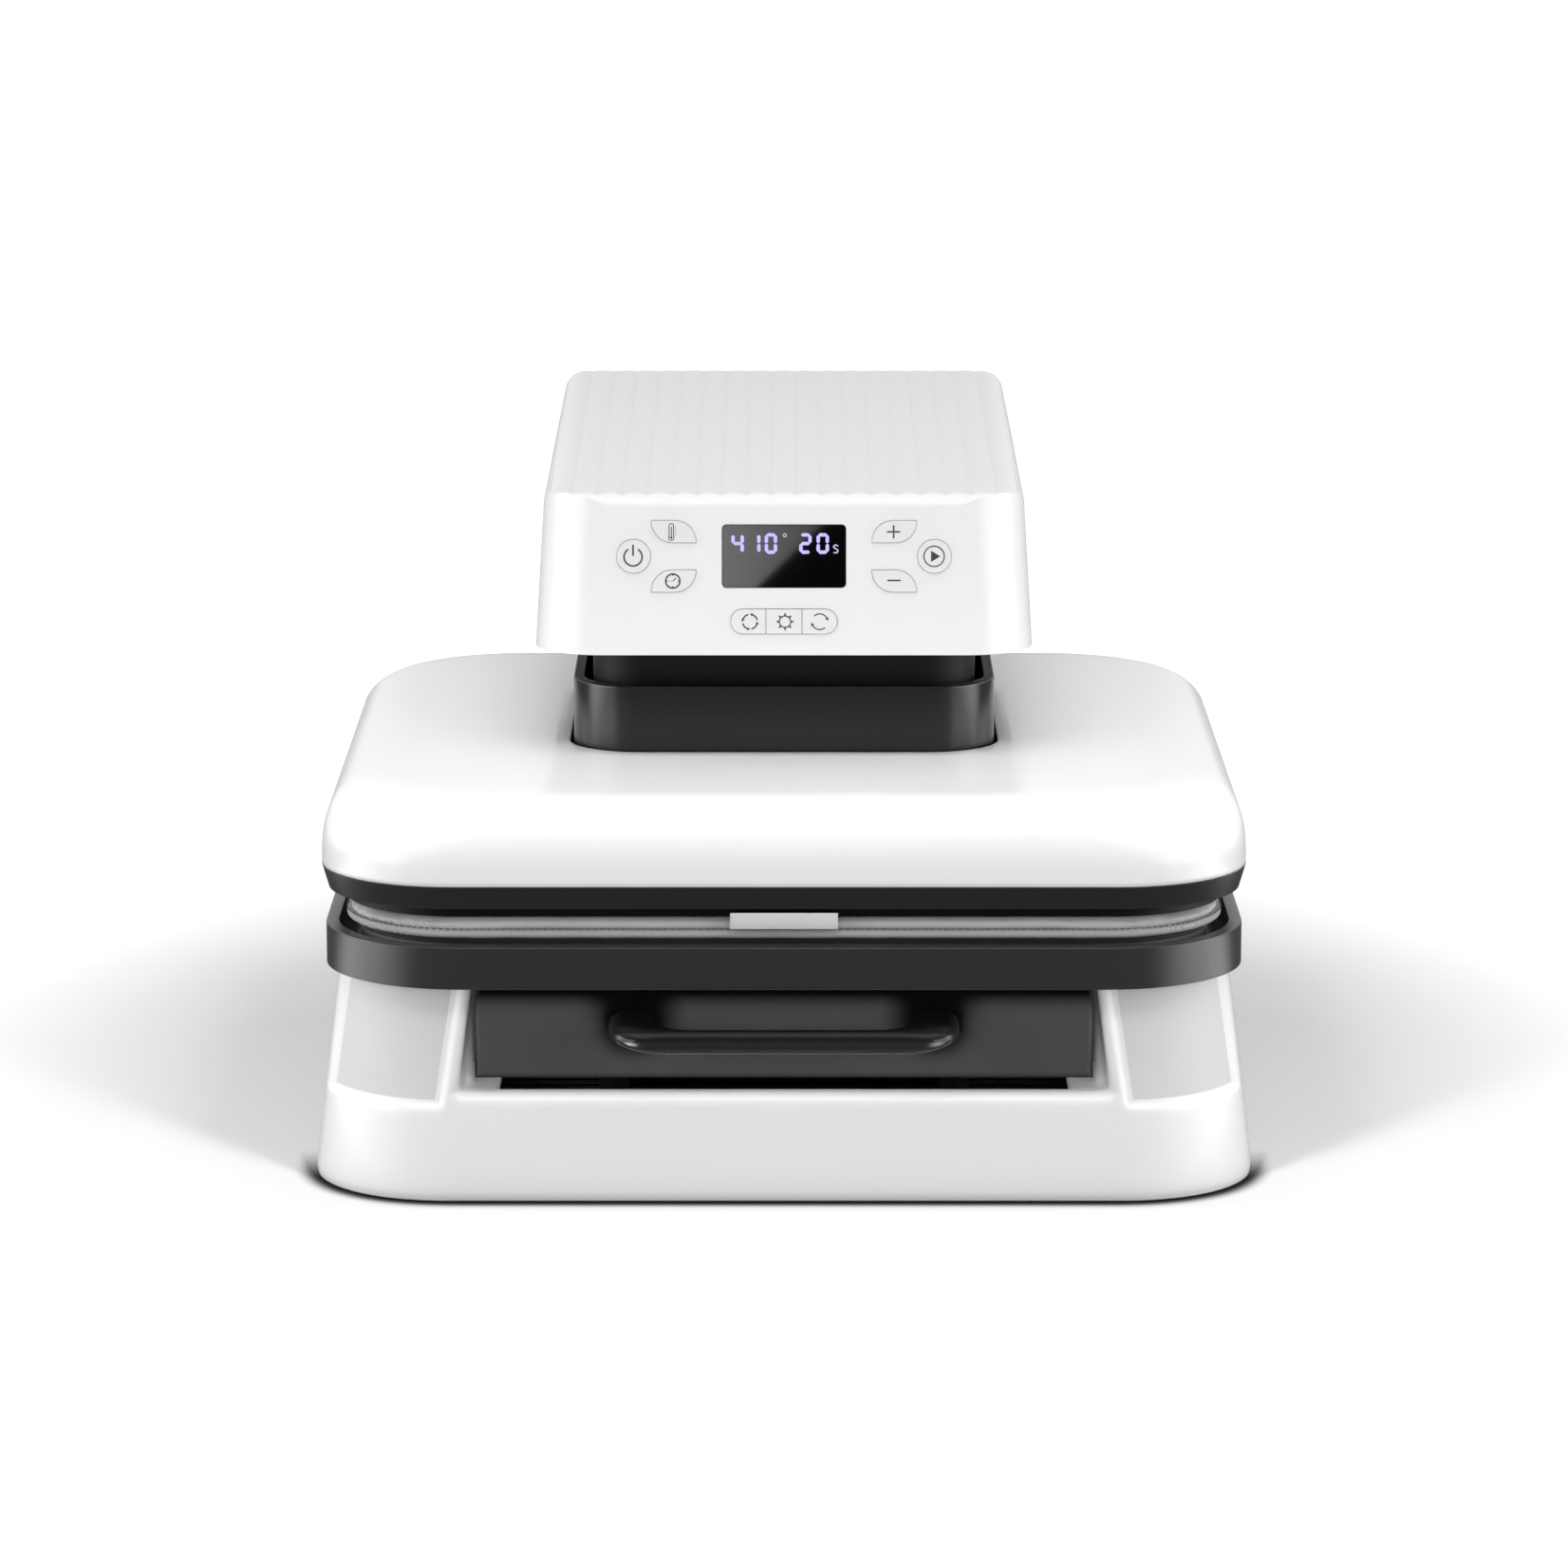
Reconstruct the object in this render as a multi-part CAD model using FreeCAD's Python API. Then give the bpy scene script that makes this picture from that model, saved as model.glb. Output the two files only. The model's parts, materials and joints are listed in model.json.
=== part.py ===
import FreeCAD, Part
import math
import os

# Automatic heat press, in millimetres. X is across, +Y runs back, +Z is up.
# While it is built, y = 0 is the front edge of the base and x = 0 its middle plane.
# save() then moves every piece so that the origin is below the middle of the whole object.

# The platen's rim is the size that the press is built round
RIM_WIDTH = 440.5
PRESS_Y = RIM_WIDTH / 2 + 3.75

# Base housing
BASE_WIDTH = 449.0
BASE_DEPTH = RIM_WIDTH + 59.5
BASE_CORNER = 64.0
BASE_TOP = 102.4
BASE_BOTTOM = 2.5
BASE_EDGE = 3.5
EDGE_SLANT = 0.6
BASE_LEAN = 11.5
BASE_WALL = 4.0
LIP_TOP = 51.5
LIP_ROUND = 3.5
FLOOR_THICK = 3.0
BAY_WIDTH = 294.0
BAY_BACK = BASE_DEPTH - 49.5
MOUTH_TOP_WIDTH = BAY_WIDTH + 0.6
MOUTH_BOTTOM_WIDTH = BAY_WIDTH + 15.0
MOUTH_DEPTH = 24.0
SLOT_WIDTH = 269.0
SLOT_FRONT = 11.0
PANEL_RECESS = 2.2
PANEL_BOTTOM = 45.0
PANEL_BACK = 50.0
PANEL_TOP_X = BAY_WIDTH / 2 + 5.0
PANEL_BOTTOM_X = BAY_WIDTH / 2 + 14.0
BASE_SOCKET = 6.0

# Base pan and feet
PAN_THICK = 1.5
PAN_GAP = 0.5
PAN_LIFT = 1.0
FOOT_DIAMETER = 22.0
FOOT_INSET = 62.0
PAN_SLOT_COUNT = 9
PAN_SLOT_PITCH = 12.0
PAN_SLOT_LENGTH = 50.0
PAN_SLOT_WIDTH = 4.0
PAN_SLOT_X = 118.0
PAN_SCREW = 3.4
PAN_SCREW_HEAD = 7.6
PAN_SCREW_LENGTH = 14.0
BOSS_DIAMETER = 9.0
BOSS_X = 186.0
BOSS_Y = 150.0

# Platen stack: one middle for all the plates, heights counted from the floor
TRAY_GAP = 0.6
TRAY_HEIGHT = 20.1
TRAY_BOTTOM = BASE_TOP + TRAY_GAP
TRAY_TOP = TRAY_BOTTOM + TRAY_HEIGHT
TRAY_WIDTH = RIM_WIDTH - 3.5
TRAY_DEPTH = RIM_WIDTH + 8.5
TRAY_CORNER = 68.0
TRAY_WALL = 6.0
TRAY_FLOOR = 3.0
TRAY_EDGE = 0.8
LOWER_PLATE_DROP = 2.1
LOWER_PLATE_TOP = TRAY_TOP - LOWER_PLATE_DROP
LOWER_PLATE_WIDTH = TRAY_WIDTH - 33.0
LOWER_PLATE_WALL = 2.0
LOWER_PLATE_CORNER = 52.0
LOWER_PLATE_RIBS = (-90.0, 0.0, 90.0)
SILICONE_THICK = 3.5
SILICONE_INSET = 2.0
MAT_THICK = 9.4
MAT_WIDTH = TRAY_WIDTH - 16.0
MAT_DEPTH = TRAY_DEPTH - 19.0
MAT_CORNER = 60.0
MAT_GAP = 0.3
MAT_TOP = LOWER_PLATE_TOP + SILICONE_THICK + MAT_GAP + MAT_THICK
MAT_EDGE_DROP = 0.9
MAT_ROLL = 2.2
TAB_WIDTH = 50.6
TAB_HEIGHT = 7.8
TAB_THICK = 1.2
TAB_RISE = 3.8

# Upper platen
PLATE_SIZE = RIM_WIDTH - 59.5
PLATE_THICK = 9.4
PLATE_CORNER = 22.0
PLATE_LIFT_OFF = 0.4
SURROUND_WIDTH = RIM_WIDTH - 24.5
SURROUND_CORNER = 54.0
SURROUND_GAP = 0.6
SURROUND_HEIGHT = 5.6
RIM_HEIGHT = 10.8
RIM_LEAN = 3.2
RIM_CORNER = 63.0
RIM_LEDGE = 12.0
RIM_LEDGE_THICK = 3.0
RIM_WALL = 16.0
COVER_HEIGHT = 40.2
COVER_WALL = 3.0
COVER_CORNER = 64.0
COVER_WALL_RISE = 5.0
COVER_SHOULDER = 36.0
COVER_CURL = 2.7
COVER_SWELL = 16.0
COVER_LEVELS = 8
COLLAR_WIDTH = 206.0
COLLAR_DEPTH = 180.0
COLLAR_CORNER = 34.0
COLLAR_WALL = 5.0
COLLAR_EDGE = 0.9
COLLAR_RISE = 31.8
COVER_GAP = 1.9
LIFT_TRAVEL = 17.0
LIFT_CLEAR = 1.5

# Heater parts
ELEMENT_DIAMETER = 8.0
ELEMENT_REACH = PLATE_SIZE / 2 - 40.5
ELEMENT_RUNS = 4
INSULATION_SIZE = PLATE_SIZE - 35.0
INSULATION_THICK = 7.0
INSULATION_GAP = 0.3
CUTOUT_DIAMETER = 18.0
CUTOUT_HEIGHT = 5.5
CUTOUT_Y = PRESS_Y - 40.0
CUTOUT_TAG_X = 5.0
CUTOUT_TAG_WIDTH = 3.0
CUTOUT_TAG_THICK = 0.8

# Press carrier, screw and guides
CARRIER_THICK = 8.0
CARRIER_GAP = 5.2
CARRIER_MARGIN = 10.0
LEG_DIAMETER = 16.0
LEG_X = 88.0
LEG_Y = 72.0
LEG_GAP = 0.5
WASHER_DIAMETER = 30.0
WASHER_THICK = 1.2
WASHER_CONE = 0.9
SCREW_DIAMETER = 16.0
SCREW_FIT = 0.05
SCREW_RISE = 11.0
SCREW_SHOULDER = 24.0
SHOULDER_THICK = 4.0
LOCK_RING_THICK = 4.7
LOCK_RING_GAP = 0.3
NUT_FLANGE = 44.0
NUT_FLANGE_THICK = 5.0
NUT_DIAMETER = 28.0
NUT_HEIGHT = 24.0
ROD_DIAMETER = 12.0
ROD_FIT = 0.05
ROD_X = 60.0
ROD_Y = 46.0
ROD_RISE = 48.5
ROD_SEAT = 2.0
BUSH_DIAMETER = 20.0
BUSH_FLANGE = 28.0
BUSH_FLANGE_THICK = 3.0
BUSH_HEIGHT = 22.0
BUSH_DROP = 4.0
BEARING_DIAMETER = 32.0
BEARING_THICK = 9.0

# Head
HEAD_WIDTH = 241.5
HEAD_TOP_WIDTH = 233.0
HEAD_FRONT = PRESS_Y - 107.0
HEAD_FRONT_TOP = HEAD_FRONT + 8.0
HEAD_BACK = BASE_DEPTH - 10.0
HEAD_RISE = 77.0
DECK_RISE = 13.5
HEAD_CORNER = 33.0
HEAD_BACK_CORNER = 8.0
HEAD_ROUND = 7.0
HEAD_WALL = 3.0
FLUTE_PITCH = 12.0
FLUTE_COUNT = 17
FLUTE_RISE = 0.9
NECK_WIDTH = 187.0
NECK_DEPTH = 161.0
NECK_CORNER = 27.0
NECK_WALL = 3.0
NECK_OVERLAP = 23.0
NECK_FLANGE = 7.0
NECK_FLANGE_THICK = 2.5
NECK_GAP = 0.2
UNDERSIDE_THICK = 3.0
UNDERSIDE_GAP = 0.3

# Control panel, measured along the sloping front of the head from the display's middle
PANEL_DROP = 29.5
DISPLAY_WIDTH = 59.7
DISPLAY_HEIGHT = 30.5
DISPLAY_CORNER = 2.3
WINDOW_THICK = 2.6
WINDOW_PROUD = 0.25
WINDOW_GAP = 0.1
MODULE_THICK = 6.0
ROUND_KEY_X = 72.4
ROUND_KEY_DIAMETER = 16.2
LEAF_X = 53.1
LEAF_V = 11.9
LEAF_WIDTH = 21.4
LEAF_HEIGHT = 10.6
PILL_WIDTH = 51.2
PILL_HEIGHT = 11.9
PILL_V = -31.4
PILL_MIDDLE_WIDTH = 17.4
KEY_GAP = 0.25
KEY_PROUD = 1.2
KEY_FLANGE = 1.0
KEY_FLANGE_THICK = 1.2
KEY_TONGUE = 8.0
KEY_TRAVEL = 1.0
KEY_STEM_DIAMETER = 3.0
SWITCH_SIZE = 4.6
SWITCH_HEIGHT = 2.0
SWITCH_GAP = 0.2
KEY_EDGE = 0.4
BOARD_THICK = 1.6
BOARD_WIDTH = 176.0
BOARD_MARGIN = 7.5
BOARD_DEPTH = 12.0
POST_DIAMETER = 6.0
POST_X = 83.0
POST_MARGIN = 7.0

# Steel frame
FRAME_HALF = 80.0
FRAME_PLATE = 5.0
FRAME_FOOT_FRONT = 60.0
FRAME_FOOT_TOP = 40.0
FRAME_COLUMN_FRONT = BASE_DEPTH - 40.0
FRAME_COLUMN_BACK = BASE_DEPTH - 18.0
FRAME_ARM_FRONT = PRESS_Y - 66.0
FRAME_ARM_RISE = 10.5
FRAME_ARM_HEIGHT = 52.0
DRIVE_PLATE_THICK = 6.0
HANGER_DIAMETER = 10.0
HANGER_Y = (BASE_DEPTH - 155.0, BASE_DEPTH - 75.0)
FRAME_BRACE_Y = (60.0, PRESS_Y, BASE_DEPTH - 100.0)
GEARBOX_WIDTH = 64.0
GEARBOX_DEPTH = 64.0
GEARBOX_WALL = 4.0
GEARBOX_HEIGHT = 45.0
MOTOR_DIAMETER = 42.0
MOTOR_LENGTH = 78.0
MOTOR_CAP = 5.0
WHEEL_DIAMETER = 40.0
WHEEL_TEETH = 20
WHEEL_THICK = 10.0
WHEEL_TOOTH = 1.6
WORM_DIAMETER = 12.0
WORM_GAP = 0.5
WHEEL_LIFT = 1.0
WORM_TURNS = 9
WORM_PITCH = 3.0
WORM_TOOTH = 1.9
WORM_FLANK = 0.8
WORM_END_GAP = 3.0

# Column
COLUMN_FRONT = BASE_DEPTH - 45.0
COLUMN_BACK = BASE_DEPTH - 9.0
COLUMN_WIDTH = 224.0
COLUMN_WALL = 3.0
COLUMN_CORNER = 9.0
REAR_COVER_THICK = 3.0
REAR_GAP = 0.3
REAR_BOSS = 9.0
REAR_SCREW = 3.0
REAR_SCREW_HEAD = 6.0
REAR_HEAD_THICK = 2.0
CROSS_LENGTH = 4.0
CROSS_WIDTH = 0.8
CROSS_DEPTH = 1.0
REAR_SCREW_LENGTH = 10.0
VENT_COUNT = 9
VENT_PITCH = 7.0
VENT_HEIGHT = 3.0
VENT_WIDTH = 120.0
VENT_RISE = 69.6

# Drawer
DRAWER_WIDTH = BAY_WIDTH - 3.0
DRAWER_FRONT = 6.0
DRAWER_FRONT_BOTTOM = LIP_TOP + 7.0
DRAWER_FRONT_THICK = 4.0
DRAWER_FRONT_ROUND = 3.5
CARRIAGE_HALF = BAY_WIDTH / 2 - 13.0
CARRIAGE_SHEET = 2.0
CARRIAGE_BACK = BAY_BACK - 20.5
CARRIAGE_BOTTOM = LIP_TOP + 10.5
CARRIAGE_TABS = ((-CARRIAGE_HALF, -100.0), (-40.0, 40.0), (100.0, CARRIAGE_HALF))
HANDLE_WIDTH = 164.5
HANDLE_REACH = 34.0
HANDLE_BAR = 11.0
HANDLE_HEIGHT = 11.0
HANDLE_ROOT = 20.5
HANDLE_CORNER = 20.0
HANDLE_DROOP = 9.0
HANDLE_TOP = TRAY_BOTTOM - 9.0
HANDLE_ROUND = 4.2
HANDLE_SCREW = 4.0
HANDLE_SCREW_LENGTH = 18.0
HANDLE_SCREW_HEAD = 2.4

# Telescopic rails
RAIL_FRONT = 26.0
RAIL_LENGTH = BAY_BACK - 50.5
RAIL_HEIGHT = 36.0
RAIL_MIDDLE_Z = LIP_TOP + 28.5
RAIL_SHEET = 1.5
RAIL_GAP = 0.4
RAIL_FLANGE = 5.0
MIDDLE_RAIL_SHORT = 40.0
INNER_RAIL_SHORT = 10.0
RAIL_GROOVE = 2.0
RAIL_GROOVE_EDGE = 4.0

# Power entry on the rear cover
INLET_X = 55.0
INLET_Z = BASE_TOP + 35.6
INLET_WIDTH = 27.0
INLET_HEIGHT = 20.0
INLET_DEPTH = 17.0
INLET_FLANGE = 3.0
INLET_FLANGE_THICK = 1.5
INLET_WALL = 1.5
INLET_PIN_RECESS = 5.0
INLET_PIN_WIDTH = 2.0
INLET_PIN_HEIGHT = 4.0
INLET_PINS = ((-7.0, -2.0), (7.0, -2.0), (0.0, 3.0))
ROCKER_X = 10.0
ROCKER_WIDTH = 13.0
ROCKER_HEIGHT = 19.0
ROCKER_TILT = 12.0
ROCKER_DEPTH = 5.0
ROCKER_FOOT = 9.0
ROCKER_TIP = 2.2
ROCKER_WAIST = 0.6
ROCKER_PIN = 3.0
ROCKER_PIN_DEPTH = 3.0
ROCKER_PIN_FIT = 0.05
BEZEL_GAP = 0.3
BEZEL_WALL = 1.2
BEZEL_FLANGE = 1.5
BEZEL_DEPTH = 12.0
BEZEL_FLOOR = 2.0
FUSE_X = -25.0
FUSE_DIAMETER = 12.0
FUSE_CAP = 17.0
FUSE_CAP_THICK = 3.0
FUSE_SLOT_LENGTH = 10.0
FUSE_SLOT_WIDTH = 1.6

# Power board: blocks and cans on it given as (x, y, size, size, height)
POWER_BOARD_FRONT = BASE_DEPTH - 200.0
POWER_BOARD_WIDTH = 120.0
POWER_BOARD_DEPTH = 90.0
POWER_BOARD_LIFT = 6.0
POWER_BOARD_EDGE = 6.0
POWER_BLOCKS = ((-40.0, 10.0, 28.0, 30.0, 22.0), (0.0, 10.0, 18.0, 16.0, 14.0),
                (-44.0, 56.0, 38.0, 6.0, 24.0))
POWER_CANS = ((32.0, 22.0, 14.0, 20.0), (32.0, 42.0, 14.0, 20.0))

# Working values, counted up from the floor
PAN_TOP = BASE_BOTTOM + PAN_LIFT + PAN_THICK
PLATE_BOTTOM = MAT_TOP + PLATE_LIFT_OFF
PLATE_TOP = PLATE_BOTTOM + PLATE_THICK
RIM_BOTTOM = PLATE_BOTTOM + SURROUND_HEIGHT
RIM_TOP = RIM_BOTTOM + RIM_HEIGHT
COVER_BOTTOM = RIM_TOP
COVER_TOP = COVER_BOTTOM + COVER_HEIGHT
ELEMENT_TOP = PLATE_TOP + ELEMENT_DIAMETER
INSULATION_BOTTOM = ELEMENT_TOP + INSULATION_GAP
INSULATION_TOP = INSULATION_BOTTOM + INSULATION_THICK
CARRIER_BOTTOM = INSULATION_TOP + CARRIER_GAP
CARRIER_TOP = CARRIER_BOTTOM + CARRIER_THICK
COLLAR_TOP = COVER_TOP + COLLAR_RISE
NECK_BOTTOM = COLLAR_TOP - NECK_OVERLAP
HEAD_BOTTOM = COLLAR_TOP + LIFT_TRAVEL + LIFT_CLEAR
HEAD_FRONT_HEIGHT = HEAD_BOTTOM + HEAD_RISE
HEAD_BACK_HEIGHT = HEAD_FRONT_HEIGHT + DECK_RISE
FRAME_ARM_BOTTOM = HEAD_BOTTOM + FRAME_ARM_RISE
FRAME_ARM_TOP = FRAME_ARM_BOTTOM + FRAME_ARM_HEIGHT
DRIVE_PLATE_TOP = FRAME_ARM_BOTTOM + DRIVE_PLATE_THICK
GEARBOX_TOP = DRIVE_PLATE_TOP + GEARBOX_HEIGHT
BEARING_TOP = DRIVE_PLATE_TOP + BEARING_THICK
WHEEL_BOTTOM = BEARING_TOP + SHOULDER_THICK + WHEEL_LIFT
SCREW_TOP = WHEEL_BOTTOM + WHEEL_THICK + SCREW_RISE
ROD_TOP = HEAD_BOTTOM + ROD_RISE
PANEL_Z = HEAD_FRONT_HEIGHT - PANEL_DROP
PANEL_TILT = math.degrees(math.atan2(HEAD_FRONT_TOP - HEAD_FRONT, HEAD_RISE))
DECK_SLOPE = DECK_RISE / (HEAD_BACK - HEAD_FRONT_TOP)
BOARD_HEIGHT = HEAD_RISE - 2 * BOARD_MARGIN
BOARD_V = HEAD_BOTTOM + HEAD_RISE / 2 - PANEL_Z
POST_V = BOARD_HEIGHT / 2 - POST_MARGIN

# Working values, from front to back
HANDLE_LEVEL = (HANDLE_REACH - HANDLE_ROUND) * math.cos(math.radians(HANDLE_DROOP))
HANDLE_SINK = (HANDLE_HEIGHT / 2 - HANDLE_ROUND) * math.sin(math.radians(HANDLE_DROOP))
FRONT_REACH = DRAWER_FRONT - HANDLE_LEVEL - HANDLE_SINK - HANDLE_ROUND
MIDDLE = (FRONT_REACH + BASE_DEPTH) / 2
MOST = 600.0


def vec(x, y, z):
    return FreeCAD.Vector(x, y, z)


def block(x0, x1, y0, y1, z0, z1):
    return Part.makeBox(x1 - x0, y1 - y0, z1 - z0, vec(x0, y0, z0))


def rod(diameter, x, y, z0, z1):
    return Part.makeCylinder(diameter / 2, z1 - z0, vec(x, y, z0))


def ring(outer, inner, x, y, z0, z1):
    return rod(outer, x, y, z0, z1).cut(rod(inner, x, y, z0 - 1, z1 + 1))


def save(name, shape):
    solids = shape.Solids
    piece = solids[0] if len(solids) == 1 else Part.makeCompound(solids)
    piece = piece.copy()
    piece.translate(vec(0, -MIDDLE, 0))
    piece.exportStep("parts/" + name + ".step")
    print(name, len(solids), "solids, valid", piece.isValid(), "volume", round(piece.Volume))


def group(pieces):
    return Part.makeCompound(pieces)


def fuse(pieces):
    whole = pieces[0].multiFuse(pieces[1:]) if len(pieces) > 1 else pieces[0]
    return whole.removeSplitter()


def mirrored(shape):
    return shape.mirror(vec(0, 0, 0), vec(1, 0, 0))


def round_outline(width, depth, radius, z, middle=PRESS_Y, back_radius=None):
    """Closed wire of a rectangle with rounded corners, lying flat at height z."""
    back = radius if back_radius is None else back_radius
    x, front, rear = width / 2, middle - depth / 2, middle + depth / 2
    corners = [(x - radius, front + radius, radius, 270), (x - back, rear - back, back, 0),
               (back - x, rear - back, back, 90), (radius - x, front + radius, radius, 180)]
    spots = []
    for cx, cy, r, start in corners:
        angles = [math.radians(start + step) for step in (0, 45, 90)]
        spots.append([vec(cx + r * math.cos(a), cy + r * math.sin(a), z) for a in angles])
    edges = []
    for index, spot in enumerate(spots):
        edges.append(Part.Arc(*spot).toShape())
        edges.append(Part.makeLine(spot[2], spots[(index + 1) % 4][0]))
    return Part.Wire(edges)


def slab(width, depth, radius, z0, z1, middle=PRESS_Y, back_radius=None):
    face = Part.Face(round_outline(width, depth, radius, z0, middle, back_radius))
    return face.extrude(vec(0, 0, z1 - z0))


def tapered(sections, middle=PRESS_Y, ruled=True):
    """Solid through rounded rectangles given as (z, width, depth, radius)."""
    wires = [round_outline(width, depth, radius, z, middle) for z, width, depth, radius in sections]
    return Part.makeLoft(wires, True, ruled)


def prism(points, direction):
    wire = Part.makePolygon(points + [points[0]])
    return Part.Face(wire).extrude(direction)


def edges_near(shape, test):
    return [edge for edge in shape.Edges if test(edge.BoundBox)]


# Base housing

def base_body(inset, z_low, z_high):
    """The leaning outside of the base, drawn in by inset, between two heights."""
    def section(z):
        lean = BASE_LEAN * max(z - BASE_BOTTOM - BASE_EDGE, 0) / (BASE_TOP - BASE_BOTTOM - BASE_EDGE)
        edge = max(BASE_BOTTOM + BASE_EDGE - z, 0) * EDGE_SLANT
        drawn = inset + lean + edge
        return (z, BASE_WIDTH - 2 * drawn, BASE_DEPTH - 2 * drawn, BASE_CORNER - 0.6 * drawn)
    heights = [z_low] + [BASE_BOTTOM + BASE_EDGE] * (z_low < BASE_BOTTOM + BASE_EDGE < z_high) + [z_high]
    return tapered([section(z) for z in heights], BASE_DEPTH / 2)


def mouth(margin, z0):
    """Wedge that widens the drawer bay towards the front and the floor."""
    low, high = MOUTH_BOTTOM_WIDTH / 2 + margin, MOUTH_TOP_WIDTH / 2 + margin
    rise = (high - low) / (BASE_TOP - LIP_TOP)
    low += rise * (z0 - LIP_TOP)
    top = BASE_TOP + 5
    high += rise * 5
    corners = [vec(-low, -5, z0), vec(low, -5, z0), vec(high, -5, top), vec(-high, -5, top)]
    return prism(corners, vec(0, MOUTH_DEPTH + margin + 5, 0))


def corner_recess():
    """Shallow panel sunk into the front corner of each side block."""
    inside = base_body(PANEL_RECESS, PANEL_BOTTOM - 1, BASE_TOP + 4)
    skin = base_body(-3, PANEL_BOTTOM, BASE_TOP + 3).cut(inside)
    rise = (PANEL_TOP_X - PANEL_BOTTOM_X) / (BASE_TOP - PANEL_BOTTOM)
    top = BASE_TOP + 4
    x_top = PANEL_TOP_X + rise * 4
    corners = [vec(PANEL_BOTTOM_X, -5, PANEL_BOTTOM), vec(MOST, -5, PANEL_BOTTOM), vec(MOST, -5, top),
               vec(x_top, -5, top)]
    side = skin.common(prism(corners, vec(0, PANEL_BACK + 5, 0)))
    return [side, mirrored(side)]


def base_shell():
    half_bay = BAY_WIDTH / 2
    outside = base_body(0, BASE_BOTTOM, BASE_TOP)
    hollow = base_body(BASE_WALL, BASE_BOTTOM - 1, BASE_TOP - BASE_WALL)
    floor_under = LIP_TOP - FLOOR_THICK
    hollow = hollow.cut(block(-half_bay - BASE_WALL, half_bay + BASE_WALL, -5, BAY_BACK + BASE_WALL,
                              floor_under, BASE_TOP))
    hollow = hollow.cut(mouth(BASE_WALL, floor_under))
    shell = outside.cut(hollow)
    shell = shell.cut(block(-half_bay, half_bay, -5, BAY_BACK, LIP_TOP, BASE_TOP + 5))
    shell = shell.cut(mouth(0, LIP_TOP))
    shell = shell.cut(block(-SLOT_WIDTH / 2, SLOT_WIDTH / 2, SLOT_FRONT, BAY_BACK - 20, floor_under - 1,
                            LIP_TOP + 1))
    for recess in corner_recess():
        shell = shell.cut(recess)
    bosses = [rod(BOSS_DIAMETER, x, y, PAN_TOP, BASE_TOP - 1) for x, y in boss_spots()]
    shell = fuse([shell] + bosses)
    for x, y in boss_spots():
        shell = shell.cut(rod(PAN_SCREW, x, y, PAN_TOP - 1, PAN_TOP + PAN_SCREW_LENGTH))
    opening = FRAME_HALF + BASE_SOCKET
    shell = shell.cut(block(-opening, opening, FRAME_COLUMN_FRONT - 3, FRAME_COLUMN_BACK + 3,
                            BASE_TOP - BASE_WALL - 1, BASE_TOP + 1))
    lip = edges_near(shell, lambda b: abs(b.ZMin - LIP_TOP) < 0.01 and abs(b.ZMax - LIP_TOP) < 0.01
                     and b.YMax < 8 and b.XLength > BAY_WIDTH / 2)
    return shell.makeFillet(LIP_ROUND, lip)


def base_pan():
    drawn = BASE_WALL + BASE_EDGE * EDGE_SLANT + PAN_GAP
    low = PAN_TOP - PAN_THICK
    pan = slab(BASE_WIDTH - 2 * drawn, BASE_DEPTH - 2 * drawn, BASE_CORNER - drawn, low, PAN_TOP,
               BASE_DEPTH / 2)
    for x, y in boss_spots():
        pan = pan.cut(rod(PAN_SCREW + 0.6, x, y, low - 1, PAN_TOP + 1))
    for index in range(PAN_SLOT_COUNT):
        y = BASE_DEPTH / 2 + (index - (PAN_SLOT_COUNT - 1) / 2) * PAN_SLOT_PITCH
        for side in (-1, 1):
            x = side * PAN_SLOT_X
            half, wide = PAN_SLOT_LENGTH / 2, PAN_SLOT_WIDTH / 2
            pan = pan.cut(block(x - half, x + half, y - wide, y + wide, low - 1, PAN_TOP + 1))
    return pan


def boss_spots():
    return [(sx * BOSS_X, BASE_DEPTH / 2 + sy * BOSS_Y) for sx in (-1, 1) for sy in (-1, 1)]


def base_screws():
    low = PAN_TOP - PAN_THICK
    screws = []
    for x, y in boss_spots():
        shank = rod(PAN_SCREW, x, y, low - 0.5, low + PAN_SCREW_LENGTH)
        screws.append(fuse([shank, rod(PAN_SCREW_HEAD, x, y, low - 0.9, low)]))
    return group(screws)


def foot_spots():
    return [(side * (BASE_WIDTH / 2 - FOOT_INSET), y) for side in (-1, 1)
            for y in (FOOT_INSET, BASE_DEPTH - FOOT_INSET)]


def rubber_feet():
    return group([rod(FOOT_DIAMETER, x, y, 0, PAN_TOP - PAN_THICK) for x, y in foot_spots()])


# Steel frame

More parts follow.
